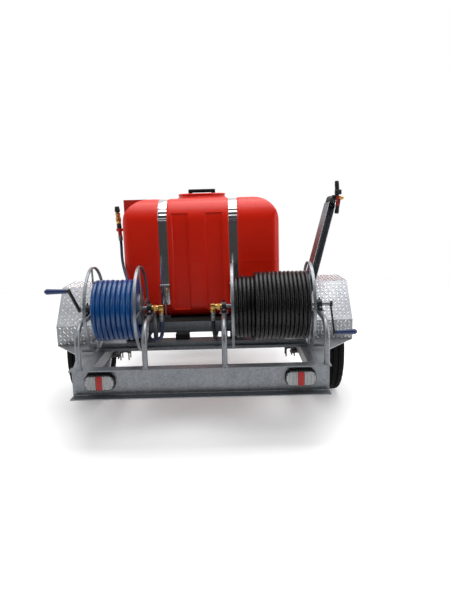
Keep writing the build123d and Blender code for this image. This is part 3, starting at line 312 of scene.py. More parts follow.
def slab(bm, centre, size, bevel=0.0, axes=None, segments=3):
    """Add a box with rounded edges; axes are its three directions."""
    first, second, third = axes or (X_AXIS, Y_AXIS, Z_AXIS)
    turn = Matrix((first, second, third)).transposed().to_4x4()
    place = Matrix.Translation(Vector(centre)) @ turn @ Matrix.Diagonal((*size, 1))
    made = bmesh.ops.create_cube(bm, size=1, matrix=place)
    if bevel:
        # Each edge once, in the same order every run.
        edges = dict.fromkeys(edge for vert in made["verts"] for edge in vert.link_edges)
        bmesh.ops.bevel(
            bm, geom=list(edges), offset=bevel, segments=segments, profile=0.5, affect="EDGES",
            clamp_overlap=True,
        )


def nut(bm, origin, direction, across, thick):
    """Add a hexagon nut or bolt head with a chamfered top."""
    first, second, third = basis(direction)
    corner = across / math.sqrt(3)
    loops = []
    for along, share in ((0, 1), (thick * 0.85, 1), (thick, 0.86)):
        centre = Vector(origin) + third * along
        loops.append([
            bm.verts.new(centre + spoke(first, second, math.pi * k / 3) * corner * share)
            for k in range(6)
        ])
    for low, high in zip(loops, loops[1:]):
        for k in range(6):
            bm.faces.new((low[k], low[(k + 1) % 6], high[(k + 1) % 6], high[k]))
    bm.faces.new(loops[-1])
    bm.faces.new(loops[0][::-1])


def hose_curve(name, points, diameter, slot_name, body, replaced=(), resolution=6):
    """A hose along a smooth spline through given control points."""
    data = bpy.data.curves.new(name, "CURVE")
    data.dimensions = "3D"
    spline = data.splines.new("NURBS")
    spline.points.add(len(points) - 1)
    for control, point in zip(spline.points, points):
        control.co = (*point, 1)
    spline.order_u = 3
    spline.use_endpoint_u = True
    spline.use_smooth = True
    data.bevel_depth = diameter / 2
    data.bevel_resolution = 4
    data.resolution_u = resolution
    data.use_fill_caps = True
    return settle(bpy.data.objects.new(name, data), slot_name, body, replaced)


# ---------------------------------------------------------------- wound hoses
TURN_POINTS = 14
# A spline of order 3 runs inside its control points by this share of the radius.
PULL_IN = 0.75 + 0.25 * math.cos(2 * math.pi / TURN_POINTS)
# Each turn steps over to the next in its last part.
JOG_FROM, JOG_SHARE = 0.8, 0.2
# Keeps the unevenness of one layer apart from the next one's.
LAYER_SHIFT = 40
PACK_START = math.radians(-60)


def unevenness(turn, around, amount):
    """How far one turn stands off its neighbours, different for each turn and smooth round it."""
    spot = Vector((turn * 3.7, math.cos(around) * 1.3, math.sin(around) * 1.3))
    return amount * noise.noise(spot)


def winding(x_start, step, layers, start_angle, amount, sag=None):
    """Turns side by side, each stepping over near its end; layers are (radius, turns)."""
    points = []
    x, heading = x_start, step
    for layer, (radius, turns) in enumerate(layers):
        next_radius = layers[layer + 1][0] if layer + 1 < len(layers) else radius
        count = round(turns * TURN_POINTS)
        for k in range(count):
            turn, share = divmod(k / TURN_POINTS, 1)
            last = turn + 1 >= turns
            jog = min(max((share - JOG_FROM) / JOG_SHARE, 0), 1)
            jog = jog * jog * (3 - 2 * jog)
            offset = turn if last else turn + jog
            reach = radius + (next_radius - radius) * jog if last else radius
            around = start_angle + 2 * math.pi * share
            here_x = x + heading * offset
            reach += unevenness(layer * LAYER_SHIFT + turn, around, amount)
            if sag:
                reach += sag(here_x, around)
            points.append((
                here_x,
                AXLE_Y + reach / PULL_IN * math.cos(around),
                AXLE_Z + reach / PULL_IN * math.sin(around),
            ))
        x += heading * (math.ceil(turns) - 1)
        heading = -heading
    return points


def spline_length(obj):
    """Length of a curve's own line, taken from a thin copy."""
    thin = bpy.data.objects.new("measure", obj.data.copy())
    thin.data.bevel_depth = 0
    bpy.context.scene.collection.objects.link(thin)
    graph = bpy.context.evaluated_depsgraph_get()
    line = bpy.data.meshes.new_from_object(thin.evaluated_get(graph))
    spots = [vert.co.copy() for vert in line.vertices]
    length = sum((spots[e.vertices[0]] - spots[e.vertices[1]]).length for e in line.edges)
    curve = thin.data
    bpy.data.meshes.remove(line)
    bpy.data.objects.remove(thin)
    bpy.data.curves.remove(curve)
    return length


def below_axle(around):
    """From 0 above and beside the axle to 1 straight below it."""
    return max(0.0, -math.sin(around)) ** 3


def blue_sag(x, around):
    """All the blue turns hang a little at the bottom, wherever they lie along the drum."""
    return 0.015 * below_axle(around)


def black_sag(x, around):
    """The slack black turns at the inner end hang lower than the others."""
    slack_from, slack_width = 0.187, 0.16
    inner = max(0.0, 1 - (x - slack_from) / slack_width)
    return (0.002 + 0.012 * inner) * below_axle(around)


# The blue hose's free end crosses back over the pack: degrees round the axle, x, distance from it.
BLUE_TAIL = [
    (-60, -0.532, 0.144), (-40, -0.519, 0.158), (-20, -0.480, 0.168), (0, -0.436, 0.172),
    (11, -0.404, 0.170),
]
blue_points = winding(
    -0.3297, -BLUE, [(0.097, 9), (0.1195, 9), (0.142, 9)], PACK_START, 0.004, blue_sag
)
for degrees, x, reach in BLUE_TAIL:
    spot = math.radians(degrees)
    blue_points.append((x, AXLE_Y + reach * math.cos(spot), AXLE_Z + reach * math.sin(spot)))
blue_coil = hose_curve(
    "blue_wound_hose", blue_points, BLUE, "blue_hose", "left_reel", ["left_hose_coil"], 3
)
round(spline_length(blue_coil), 2)

BLACK_LAYERS = [(0.110, 18), (0.129, 18), (0.148, 18), (0.167, 13.3)]
black_points = winding(0.1877, BLACK, BLACK_LAYERS, PACK_START, 0.0025, black_sag)
black_coil = hose_curve(
    "black_wound_hose", black_points, BLACK, "black_hose", "right_reel", ["right_hose_coil"], 3
)

# Control points of the loose hoses: down from the gun's foot, and from the elbows to the frame.
WHIP_ROUTE = [
    (-0.468, REAR + 0.622, 1.0138),
    (-0.4665, REAR + 0.6212, 0.975),
    (-0.464, REAR + 0.603, 0.935),
    (-0.458, REAR + 0.582, 0.893),
    (-0.446, REAR + 0.553, 0.852),
    (-0.430, REAR + 0.522, 0.812),
    (-0.412, REAR + 0.488, 0.776),
    (-0.401, REAR + 0.452, 0.745),
    (-0.394, REAR + 0.430, 0.715),
]
FEED_ROUTES = {
    "left": [
        (-0.207, REAR + 0.262, 0.605),
        (-0.207, REAR + 0.262, 0.578),
        (-0.205, REAR + 0.263, 0.545),
        (-0.214, REAR + 0.276, 0.513),
        (-0.238, REAR + 0.303, 0.491),
        (-0.268, REAR + 0.343, 0.481),
        (-0.293, REAR + 0.395, 0.478),
        (-0.305, REAR + 0.450, 0.4774),
        (-0.3086, REAR + 0.508, 0.4772),
        (-0.308, REAR + 0.566, 0.477),
        (-0.308, REAR + 0.620, 0.477),
    ],
    "right": [
        (0.066, REAR + 0.262, 0.605),
        (0.066, REAR + 0.262, 0.578),
        (0.067, REAR + 0.270, 0.545),
        (0.070, REAR + 0.292, 0.510),
        (0.073, REAR + 0.332, 0.487),
        (0.075, REAR + 0.384, 0.479),
        (0.076, REAR + 0.442, 0.4776),
        (0.0764, REAR + 0.502, 0.4773),
        (0.076, REAR + 0.562, 0.477),
        (0.076, REAR + 0.620, 0.477),
    ],
}
# Painted shade: the left feed and the gun's whip take navy_hose, the blue hose's colour darkened.
for side_name, slot_name in (("left", "navy_hose"), ("right", "black_hose")):
    route = FEED_ROUTES[side_name]
    feed = hose_curve(
        f"{side_name}_feed", route, 0.020, slot_name, "root", [f"{side_name}_feed_hose"]
    )
whip = hose_curve("gun_whip", WHIP_ROUTE[::-1], 0.016, "navy_hose", "root", ["left_whip_hose"])

# A brass coupler closes the black hose's free end.
bm = bmesh.new()
end = Vector(black_points[-1])
way = (end - Vector(black_points[-2])).normalized()
turned(bm, end - way * 0.03, way, [
    (0, 0.0108), (0.001, 0.0125), (0.032, 0.0125), (0.034, 0.0155), (0.046, 0.0155), (0.047, 0.011),
    (0.066, 0.0105), (0.066, 0.006), (0.062, 0),
], 24)
coupler = piece("black_hose_coupler", bm, "brass", "right_reel")
round(spline_length(black_coil), 2)


# ---------------------------------------------------------------- tank, straps and lid
def softened(node, voxel, passes):
    """A copy of a CAD node's mesh, rebuilt in small even faces with its edges rounded."""
    mesh = nodes[node].data.copy()
    bm = bmesh.new()
    bm.from_mesh(mesh)
    bmesh.ops.remove_doubles(bm, verts=bm.verts, dist=1e-5)
    bm.to_mesh(mesh)
    bm.free()
    obj = bpy.data.objects.new(f"{node}_soft", mesh)
    bpy.context.scene.collection.objects.link(obj)
    remesh = obj.modifiers.new("remesh", "REMESH")
    remesh.mode = "VOXEL"
    remesh.voxel_size = voxel
    smooth = obj.modifiers.new("smooth", "SMOOTH")
    smooth.factor = 0.5
    smooth.iterations = passes
    graph = bpy.context.evaluated_depsgraph_get()
    obj.data = bpy.data.meshes.new_from_object(obj.evaluated_get(graph))
    obj.modifiers.clear()
    obj.data.polygons.foreach_set("use_smooth", [True] * len(obj.data.polygons))
    return obj


TANK_HALF_X, TANK_HALF_Y = 0.445, 0.5
TANK_TOP = 1.240
CROWN_RADIUS, CROWN_FROM = 0.130, 1.110
PARTING_Z, PARTING_HALF, PARTING_PROUD = 0.878, 0.006, 0.0012
# The rear face's two recesses: their sides, their lower and upper ends, and their depth.
RECESS_XS = [(-0.161, -0.072), (0.029, 0.120)]
RECESS_LOW, RECESS_HIGH, RECESS_DEPTH = 0.612, 1.158, 0.0078
SHARP_EDGE = 0.55


def raise_parting_line(mesh):
    """A thin bead round the tank, where the halves of its mould met."""
    for vert in mesh.vertices:
        height = vert.co.z - PARTING_Z
        if abs(height) < PARTING_HALF:
            along = (vert.co.y - (TANK_REAR + TANK_FRONT) / 2) / TANK_HALF_Y
            outward = Vector((vert.co.x / TANK_HALF_X, along, 0))
            if max(abs(outward.x), abs(outward.y)) > 0.975:
                vert.co += outward * PARTING_PROUD * (1 - abs(height) / PARTING_HALF)


def sink_recesses(mesh):
    """Two flat-bottomed recesses in the rear face, which follow the crown at their upper ends."""
    for vert in mesh.vertices:
        x, z = vert.co.x, vert.co.z
        if RECESS_LOW < z < RECESS_HIGH and any(left < x < right for left, right in RECESS_XS):
            rise = max(z - CROWN_FROM, 0)
            face = TANK_REAR + CROWN_RADIUS - math.sqrt(CROWN_RADIUS ** 2 - rise ** 2)
            if vert.co.y < face + RECESS_DEPTH:
                vert.co.y = face + RECESS_DEPTH


def keep_sharp(mesh, angle):
    """Shade smooth only across edges flatter than angle."""
    bm = bmesh.new()
    bm.from_mesh(mesh)
    for edge in bm.edges:
        edge.smooth = edge.calc_face_angle(0.0) < angle
    bm.to_mesh(mesh)
    bm.free()


TANK_VOXEL, SMOOTH_PASSES = ((0.006, 5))
tank_shell = softened("tank", TANK_VOXEL, SMOOTH_PASSES)
raise_parting_line(tank_shell.data)
sink_recesses(tank_shell.data)
keep_sharp(tank_shell.data, SHARP_EDGE)
settle(tank_shell, "tank_red", "root", ["tank"])

STRAP_XS = {"left": -0.215, "right": 0.184}
STRAP_GAP, STRAP_FOOT = 0.0065, 0.640
# Across the strap: place from its middle, and how proud its crowned face stands.
STRAP_SECTION = [
    (-0.025, 0), (-0.025, 0.0014), (-0.0236, 0.0021), (-0.012, 0.0026), (0, 0.0028),
    (0.012, 0.0026), (0.0236, 0.0021), (0.025, 0.0014), (0.025, 0),
]
WALL_STEPS, BEND_STEPS, TOP_STEPS = 60, 40, 50


def strap_line():
    """Places along a strap and the way out there, from its rear end over the top to its front."""
    radius = CROWN_RADIUS - STRAP_GAP
    rear_y, front_y, top_z = TANK_REAR + STRAP_GAP, TANK_FRONT - STRAP_GAP, TANK_TOP - STRAP_GAP
    rise = top_z - radius - STRAP_FOOT
    line = []
    for k in range(WALL_STEPS):
        line.append((Vector((0, rear_y, STRAP_FOOT + rise * k / WALL_STEPS)), -Y_AXIS))
    for k in range(BEND_STEPS):
        around = math.pi / 2 * k / BEND_STEPS
        out = Vector((0, -math.cos(around), math.sin(around)))
        line.append((Vector((0, rear_y + radius, top_z - radius)) + out * radius, out))
    for k in range(TOP_STEPS):
        y = rear_y + radius + (front_y - rear_y - 2 * radius) * k / TOP_STEPS
        line.append((Vector((0, y, top_z)), Z_AXIS))
    for k in range(BEND_STEPS):
        around = math.pi / 2 * k / BEND_STEPS
        out = Vector((0, math.sin(around), math.cos(around)))
        line.append((Vector((0, front_y - radius, top_z - radius)) + out * radius, out))
    for k in range(WALL_STEPS + 1):
        line.append((Vector((0, front_y, top_z - radius - rise * k / WALL_STEPS)), Y_AXIS))
    return line


def strap_wave(place, strap_x):
    """Short ripples where the strap meets the crown, and a faint unevenness all along."""
    ripple_size, ripple_length, ripple_z, ripple_reach = 0.0020, 0.021, 1.15, 0.10
    near = max(0, 1 - abs(place.z - ripple_z) / ripple_reach)
    wave = ripple_size * math.sin(place.z * 2 * math.pi / ripple_length + strap_x * 9) * near
    return wave + 0.0006 * noise.noise(place * 9 + Vector((strap_x * 20, 0, 0)))


for side_name, strap_x in STRAP_XS.items():
    bm = bmesh.new()
    loops = []
    for place, out in strap_line():
        wave = strap_wave(place, strap_x)
        loops.append([
            bm.verts.new(place + out * (proud + wave) + X_AXIS * (strap_x + across))
            for across, proud in STRAP_SECTION
        ])
    for low, high in zip(loops, loops[1:]):
        for k in range(len(STRAP_SECTION) - 1):
            bm.faces.new((low[k], high[k], high[k + 1], low[k + 1]))
    replaced = ["tank_straps"] if side_name == "left" else ()
    piece(f"{side_name}_strap_band", bm, "polished_steel", "root", replaced)

# The lid: a red rim with grip ribs, a black top with its hinge, and a black bow to turn it by.
bm = bmesh.new()
lid_centre = Vector((0, NECK_Y, 1.2602))
turned(bm, lid_centre, Z_AXIS, [
    (0, 0.1300), (0, 0.1430), (0.0005, 0.1440), (0.0060, 0.1440), (0.0066, 0.1405),
    (0.0072, 0.1385), (0.0092, 0.1360), (0.0092, 0.1180), (0.0070, 0.1160), (0.0060, 0.1130),
], 96)
for k in range(36):
    around = 2 * math.pi * k / 36
    out = Vector((math.cos(around), math.sin(around), 0))
    slab(bm, lid_centre + out * 0.1432 + Z_AXIS * 0.0035, (0.0030, 0.010, 0.0066), 0.0008,
         (out, Z_AXIS.cross(out), Z_AXIS), 1)
piece("lid_rim", bm, "tank_red", "lid", ["tank_lid"])
bm = bmesh.new()
turned(bm, lid_centre, Z_AXIS, [
    (0.0055, 0.1150), (0.0070, 0.1145), (0.0070, 0.0900), (0.0085, 0.0880), (0.0085, 0.0500),
    (0.0060, 0.0470), (0.0060, 0),
], 96)
slab(bm, (0, NECK_Y + 0.125, 1.2625), (0.056, 0.058, 0.0048), 0.001)
turned(
    bm, (-0.037, NECK_Y + 0.152, 1.266), X_AXIS, [(0, 0), (0, 0.0058), (0.074, 0.0058), (0.074, 0)],
    24
)
piece("lid_top", bm, "black_plastic", "lid")
bm = bmesh.new()
slab(bm, (0, NECK_Y, 1.2855), (0.164, 0.030, 0.021), 0.005)
for end in (-1, 1):
    slab(bm, (end * 0.070, NECK_Y, 1.2755), (0.024, 0.026, 0.020), 0.003)
for rib in range(9):
    slab(
        bm, (0.012 * (rib - 4), NECK_Y - 0.0150, 1.2875), (0.004, 0.0020, 0.010), 0.0006, segments=1
    )
piece("lid_bow", bm, "black_plastic", "lid")


# ---------------------------------------------------------------- wheels and guards
# One side of a tyre from its bead to its shoulder, and the inside: (x from its middle, radius).
TYRE_SIDE = [
    (-0.0695, 0.1785), (-0.0700, 0.1960), (-0.0790, 0.2000), (-0.0840, 0.2050), (-0.0890, 0.2150),
    (-0.0885, 0.2165), (-0.0915, 0.2200), (-0.0935, 0.2350), (-0.0930, 0.2365), (-0.0944, 0.2400),
    (-0.0942, 0.2560), (-0.0925, 0.2720), (-0.0890, 0.2850), (-0.0840, 0.2930), (-0.0780, 0.2985),
]
TYRE_INSIDE = [
    (0.052, 0.1785), (0.060, 0.235), (0.055, 0.283), (-0.055, 0.283), (-0.060, 0.235),
    (-0.052, 0.1785),
]
GROOVE_XS = (-0.052, -0.018, 0.018, 0.052)
TYRE_STEPS = 180
# Every sixth step is cut in at the shoulders, which leaves blocks between.
BLOCK_STEPS, BLOCK_CUT = 6, 0.0045


def tyre_outline():
    """A tyre's whole section, with its four grooves in the tread."""
    tread = []
    for groove_x in GROOVE_XS:
        crown = 0.3066 - 0.0062 * (groove_x / 0.07) ** 2
        tread += [(groove_x - 0.0042, crown), (groove_x - 0.0034, crown - 0.0075),
                  (groove_x + 0.0034, crown - 0.0075), (groove_x + 0.0042, crown)]
    outline = TYRE_SIDE + [(-0.0700, 0.3018), (-0.0620, 0.3030)] + tread
    outline += [(0.0620, 0.3030), (0.0700, 0.3018)]
    return outline + [(-x, r) for x, r in TYRE_SIDE[::-1]] + TYRE_INSIDE


def tyre(side):
    """A road tyre with circumferential grooves, shoulder blocks and sidewall ribs."""
    centre = WHEEL[side]
    outline = tyre_outline()
    bm = bmesh.new()
    rings = []
    for step in range(TYRE_STEPS):
        around = 2 * math.pi * step / TYRE_STEPS
        out = Vector((0, math.cos(around), math.sin(around)))
        ring = []
        for x, radius in outline:
            shoulder = 0.060 < abs(x) < 0.0900 and radius > 0.275
            cut = BLOCK_CUT if step % BLOCK_STEPS == 0 and shoulder else 0.0
            ring.append(bm.verts.new(centre + X_AXIS * x + out * (radius - cut)))
        rings.append(ring)
    for step in range(TYRE_STEPS):
        low, high = rings[step], rings[(step + 1) % TYRE_STEPS]
        for k in range(len(outline)):
            after = (k + 1) % len(outline)
            bm.faces.new((low[k], low[after], high[after], high[k]))
    name = "right" if side > 0 else "left"
    piece(f"{name}_road_tyre", bm, "tyre_rubber", f"wheel_{name}", [f"tyre_{name}"], 0.5)


# Tread plate: distance between bars, their length, width and height, and a lift clear of the sheet.
BAR_PITCH, BAR_SIZE, BAR_LIFT = 0.0225, (0.0240, 0.0062, 0.0024), 0.00005


def lozenge(bm, centre, along, out, long, wide, tall):
    """One raised bar of tread plate, pointed at both ends and rounded on top."""
    across = out.cross(along)
    outline = [
        (-1, 0), (-0.55, 0.8), (0, 1), (0.55, 0.8), (1, 0), (0.55, -0.8), (0, -1), (-0.55, -0.8),
    ]
    foot = [
        bm.verts.new(centre + along * (a * long / 2) + across * (b * wide / 2)) for a, b in outline
    ]
    crown = [
        bm.verts.new(centre + along * (a * long * 0.36) + across * (b * wide * 0.22) + out * tall)
        for a, b in outline
    ]
    for k in range(8):
        after = (k + 1) % 8
        bm.faces.new((foot[k], foot[after], crown[after], crown[k]))
    bm.faces.new(crown)


def tread_field(bm, corner, first, second, size):
    """Rows of bars at alternating slants over a flat panel that starts at corner."""
    out = first.cross(second)
    columns, rows = int(size[0] / BAR_PITCH), int(size[1] / BAR_PITCH)
    side_margin = (size[0] - (columns - 1) * BAR_PITCH) / 2
    end_margin = (size[1] - (rows - 1) * BAR_PITCH) / 2
    for column in range(columns):
        for row in range(rows):
            place = corner + first * (side_margin + column * BAR_PITCH)
            place += second * (end_margin + row * BAR_PITCH)
            slant = 1 if (column + row) % 2 else -1
            along = (first * slant + second).normalized()
            lozenge(bm, place + out * BAR_LIFT, along, out, *BAR_SIZE)


GUARD_INNER, GUARD_OUTER, GUARD_WIDTH = 0.646, 0.870, 0.224
# The guards' top surface from rear to front: (y, z).
GUARD_LINE = [
    (REAR + 0.574, 0.400), (REAR + 0.574, 0.519), (REAR + 0.750, 0.722), (REAR + 1.030, 0.722),
    (REAR + 1.206, 0.519), (REAR + 1.206, 0.400),
]
for side in (-1, 1):
    tyre(side)
    bm = bmesh.new()
    x_start = GUARD_INNER if side > 0 else -GUARD_OUTER
    for (y_low, z_low), (y_high, z_high) in zip(GUARD_LINE, GUARD_LINE[1:]):
        start, finish_spot = Vector((x_start, y_low, z_low)), Vector((x_start, y_high, z_high))
        run = finish_spot - start
        tread_field(bm, start, X_AXIS, run.normalized(), (GUARD_WIDTH, run.length))
    for k in range(4):
        nut(bm, (side * (0.70 + 0.045 * k), REAR + 0.581, 0.404), Z_AXIS, 0.013, 0.005)
    piece(f"{'right' if side > 0 else 'left'}_guard_tread", bm, "chequer_plate", "root")


# ---------------------------------------------------------------- lamps
def outline_points(width, height, radius, steps=8):
    """A rounded rectangle, anticlockwise seen from behind the trailer."""
    points = []
    for cx, cz, start in ((1, 1, 0), (-1, 1, 90), (-1, -1, 180), (1, -1, 270)):
        for k in range(steps + 1):
            around = math.radians(start + 90 * k / steps)
            points.append((
                cx * (width / 2 - radius) + radius * math.cos(around),
                cz * (height / 2 - radius) + radius * math.sin(around),
            ))
    return points


def lamp_ring(bm, x, y_list, shape):
    """Stacked outlines at each (y, inset), closed at the last; shape is width, height, radius."""
    loops = []
    for y, inset in y_list:
        radius = max(shape[2] - inset, 0.004)
        points = outline_points(shape[0] - 2 * inset, shape[1] - 2 * inset, radius)
        loops.append([bm.verts.new((x + px, y, LAMP_Z + pz)) for px, pz in points])
    for low, high in zip(loops, loops[1:]):
        for k in range(len(low)):
            after = (k + 1) % len(low)
            bm.faces.new((low[k], high[k], high[after], low[after]))
    bm.faces.new(loops[-1])


WEB_Y = REAR + 0.060
LAMP_Z = 0.345
LENS_PITCH_X, LENS_PITCH_Z = 0.0068, 0.0059
for side_name, lamp_x in (("left", -0.503), ("right", 0.498)):
    bm = bmesh.new()
    lamp_ring(
        bm, lamp_x, [(WEB_Y, 0), (WEB_Y - 0.013, 0), (WEB_Y - 0.0155, 0.002)], (0.156, 0.084, 0.034)
    )
    # A thin black rubber shelf over the lamp: a dark strip put in as painted shade above the lens.
    slab(bm, (lamp_x, WEB_Y - 0.012, 0.3875), (0.118, 0.024, 0.004), 0.001)
    replaced = ["tail_lamps"] if side_name == "left" else ()
    piece(f"{side_name}_lamp_gasket", bm, "rubber", "root", replaced)
    bm = bmesh.new()
    lamp_ring(bm, lamp_x, [(WEB_Y - 0.0140, 0), (WEB_Y - 0.0250, 0), (WEB_Y - 0.0278, 0.003)],
              (0.151, 0.079, 0.031))
    base = piece(f"{side_name}_lamp_base", bm, "lamp_clear", "root")
    # The base shares the lens's slot but is darker than the lens over it.
    base.data.materials[0] = MATS["lamp_base"]
    bm = bmesh.new()
    for column in range(-10, 11):
        for row in range(-6, 7):
            px = column * LENS_PITCH_X
            pz = row * LENS_PITCH_Z + (LENS_PITCH_Z / 2 if column % 2 else 0)
            corner = max(abs(px) - 0.045, 0) ** 2 + max(abs(pz) - 0.009, 0) ** 2
            if abs(px) < 0.0165 or corner > 0.0245 ** 2:
                continue
            turned(bm, (lamp_x + px, WEB_Y - 0.0277, LAMP_Z + pz), -Y_AXIS,
                   [(0, 0.0033), (0.0009, 0.0029), (0.0017, 0.0017), (0.0019, 0)], 6)
    piece(f"{side_name}_lamp_lens", bm, "lamp_clear", "root", crease=0.9)
    bm = bmesh.new()
    slab(bm, (lamp_x, WEB_Y - 0.0268, LAMP_Z), (0.030, 0.006, 0.071), 0.0015)
    for row in range(12):
        bar_z = 0.3145 + 0.0055 * row
        slab(bm, (lamp_x, WEB_Y - 0.0300, bar_z), (0.026, 0.0014, 0.0030), 0.0005, segments=1)
    piece(f"{side_name}_lamp_red", bm, "trigger_red", "root")


# ---------------------------------------------------------------- reel fittings, grips and guns
# Each grip's inner end, its heading along X and its length.
GRIPS = {
    "left": (Vector((-0.668, AXLE_Y - 0.096, AXLE_Z + 0.115)), -1, 0.105),
    "right": (Vector((0.709, AXLE_Y - 0.030, AXLE_Z - 0.147)), 1, 0.100),
}
for name, (start, heading, long) in GRIPS.items():
    bm = bmesh.new()
    turned(bm, start, X_AXIS * heading, [
        (0, 0.0062), (0, 0.0090), (0.0015, 0.0105), (0.010, 0.0112), (0.030, 0.0118),
        (0.060, 0.0128), (long - 0.018, 0.0140), (long - 0.008, 0.0146), (long - 0.003, 0.0140),
        (long, 0.0120), (long, 0.0062),
    ], 40)
    piece(f"{name}_grip_sleeve", bm, "blue_grip", f"{name}_reel_handle", [f"{name}_reel_grip"])

for name, elbow_x, side in (("left", -0.207, -1), ("right", 0.066, 1)):
    bm = bmesh.new()
    centre = Vector((elbow_x, AXLE_Y, AXLE_Z))
    turned(bm, centre, X_AXIS * side, [
        (0.010, 0), (0.010, 0.0125), (0.020, 0.0125), (0.0205, 0.0150), (0.0230, 0.0150),
        (0.0235, 0.0120), (0.0400, 0.0120), (0.0405, 0.0145), (0.0480, 0.0145), (0.0490, 0.0130),
        (0.0490, 0.0108),
    ], 32)
    nut(bm, centre + X_AXIS * side * 0.024, X_AXIS * side, 0.032, 0.015)
    slab(bm, centre, (0.027, 0.027, 0.030), 0.004)
    nut(bm, centre - Z_AXIS * 0.016, -Z_AXIS, 0.025, 0.015)
    piece(f"{name}_elbow", bm, "brass", "root", ["feed_fittings"] if name == "left" else ())
    bm = bmesh.new()
    turned(bm, centre, -Z_AXIS, [
        (0.030, 0), (0.030, 0.0118), (0.034, 0.0122), (0.036, 0.0112), (0.043, 0.0112),
        (0.045, 0.0124), (0.053, 0.0124), (0.055, 0.0116), (0.064, 0.0116), (0.066, 0.0124),
        (0.073, 0.0124), (0.074, 0.0104),
    ], 32)
    piece(f"{name}_ferrule", bm, "galvanised", "root")

# The straight gun on the tank's left shoulder: the way it leans, and its hose end.
GUN_LEAN = Vector((-12, 4, 188)).normalized()
GUN_BASE = Vector((-0.468, REAR + 0.622, 1.014))


def gun_part(name, slot_name, profile, body="root", replaced=()):
    """A turned section of the straight gun; distances run up from its hose end."""
    bm = bmesh.new()
    turned(bm, GUN_BASE, GUN_LEAN, profile, 32)
    return piece(name, bm, slot_name, body, replaced)


gun_part("gun_ferrule", "galvanised", [
    (-0.004, 0.0085), (-0.004, 0.0115), (0.004, 0.0128), (0.012, 0.0118), (0.016, 0.0128),
    (0.022, 0.0128), (0.024, 0.010), (0.024, 0),
], replaced=["left_gun_body"])
gun_part("gun_grip_red", "trigger_red", [
    (0.020, 0), (0.020, 0.0100), (0.026, 0.0112), (0.044, 0.0108), (0.050, 0.0112), (0.052, 0),
])
gun_part("gun_grip_black", "black_plastic", [
    (0.050, 0), (0.050, 0.0120), (0.056, 0.0138), (0.064, 0.0138), (0.067, 0.0125), (0.071, 0.0138),
    (0.079, 0.0138), (0.082, 0.0125), (0.086, 0.0136), (0.092, 0.0136), (0.096, 0.0110), (0.097, 0),
])
gun_part("gun_barrel", "brass", [
    (0.094, 0), (0.094, 0.0105), (0.100, 0.0130), (0.112, 0.0152), (0.124, 0.0152), (0.130, 0.0128),
    (0.142, 0.0122), (0.146, 0.0138), (0.153, 0.0138), (0.157, 0.0092), (0.158, 0.0075),
    (0.170, 0.0075), (0.171, 0),
])
bm = bmesh.new()
turned(bm, GUN_BASE, GUN_LEAN, [
    (0.1584, 0.0078), (0.1584, 0.0125), (0.1610, 0.0142), (0.1760, 0.0145), (0.1800, 0.0135),
    (0.1850, 0.0135), (0.1900, 0.0120), (0.1920, 0.0100), (0.1920, 0.0045), (0.1740, 0.0040),
    (0.1740, 0),
], 32)
first, second, third = basis(GUN_LEAN)
for k in range(12):
    out = spoke(first, second, math.pi * k / 6)
    slab(bm, GUN_BASE + third * 0.1695 + out * 0.0140, (0.0022, 0.0034, 0.012), 0.0006,
         (out, third.cross(out), third), 1)
piece("gun_twist_nozzle", bm, "black_plastic", "left_nozzle", ["left_gun_nozzle"])

# The trigger gun on top of the leaning arm.
ARM_FOOT = Vector((0.543, REAR + 0.556, 0.470))
ARM_TOP = Vector((0.775, REAR + 0.800, 1.186))
ARM_UP = (ARM_TOP - ARM_FOOT).normalized()
HEAD_X, HEAD_Y, HEAD_Z = 0.812, REAR + 0.800, 1.215
bm = bmesh.new()
turned(bm, ARM_TOP, ARM_UP, [
    (0.0003, 0), (0.0003, 0.0270), (0.0020, 0.0290), (0.026, 0.0290), (0.036, 0.0260),
    (0.042, 0.0200), (0.043, 0),
], 40)
slab(bm, (HEAD_X - 0.015, HEAD_Y, HEAD_Z), (0.022, 0.028, 0.044), 0.004)
turned(bm, (HEAD_X + 0.006, HEAD_Y, HEAD_Z + 0.046), Vector((-0.06, 0, 1)), [
    (0, 0), (0, 0.0120), (0.006, 0.0132), (0.020, 0.0128), (0.034, 0.0132), (0.050, 0.0125),
    (0.056, 0.0115), (0.060, 0.0090), (0.060, 0.0045), (0.050, 0.0040), (0.050, 0),
], 32)
turned(bm, (HEAD_X + 0.014, HEAD_Y, HEAD_Z - 0.002), Vector((-0.135, 0, -1)), [
    (0, 0), (0, 0.0120), (0.010, 0.0130), (0.060, 0.0120), (0.066, 0.0132), (0.082, 0.0132),
    (0.088, 0.0100), (0.088, 0),
], 32)
piece("trigger_gun_grip", bm, "black_plastic", "arm", ["right_gun_body"])
bm = bmesh.new()
slab(bm, (HEAD_X + 0.011, HEAD_Y, HEAD_Z + 0.039), (0.038, 0.034, 0.030), 0.005)
slab(bm, (HEAD_X + 0.004, HEAD_Y, HEAD_Z + 0.011), (0.024, 0.022, 0.036), 0.005)
for cheek in (-1, 1):
    slab(
        bm, (HEAD_X + cheek * 0.00705, HEAD_Y - 0.0180, HEAD_Z + 0.010), (0.0038, 0.0140, 0.0140),
        0.0012
    )
piece("trigger_gun_valve", bm, "dark_steel", "arm")
bm = bmesh.new()
turned(bm, (HEAD_X + 0.014, HEAD_Y, HEAD_Z + 0.006), Vector((1, 0, -0.12)), [
    (0, 0), (0, 0.0095), (0.012, 0.0095), (0.013, 0.0118), (0.022, 0.0118), (0.023, 0.0090),
    (0.026, 0.0090), (0.031, 0.0060), (0.032, 0),
], 28)
nut(bm, (HEAD_X + 0.020, HEAD_Y, HEAD_Z + 0.0053), Vector((1, 0, -0.12)), 0.021, 0.008)
piece("trigger_gun_knob", bm, "brass", "arm")


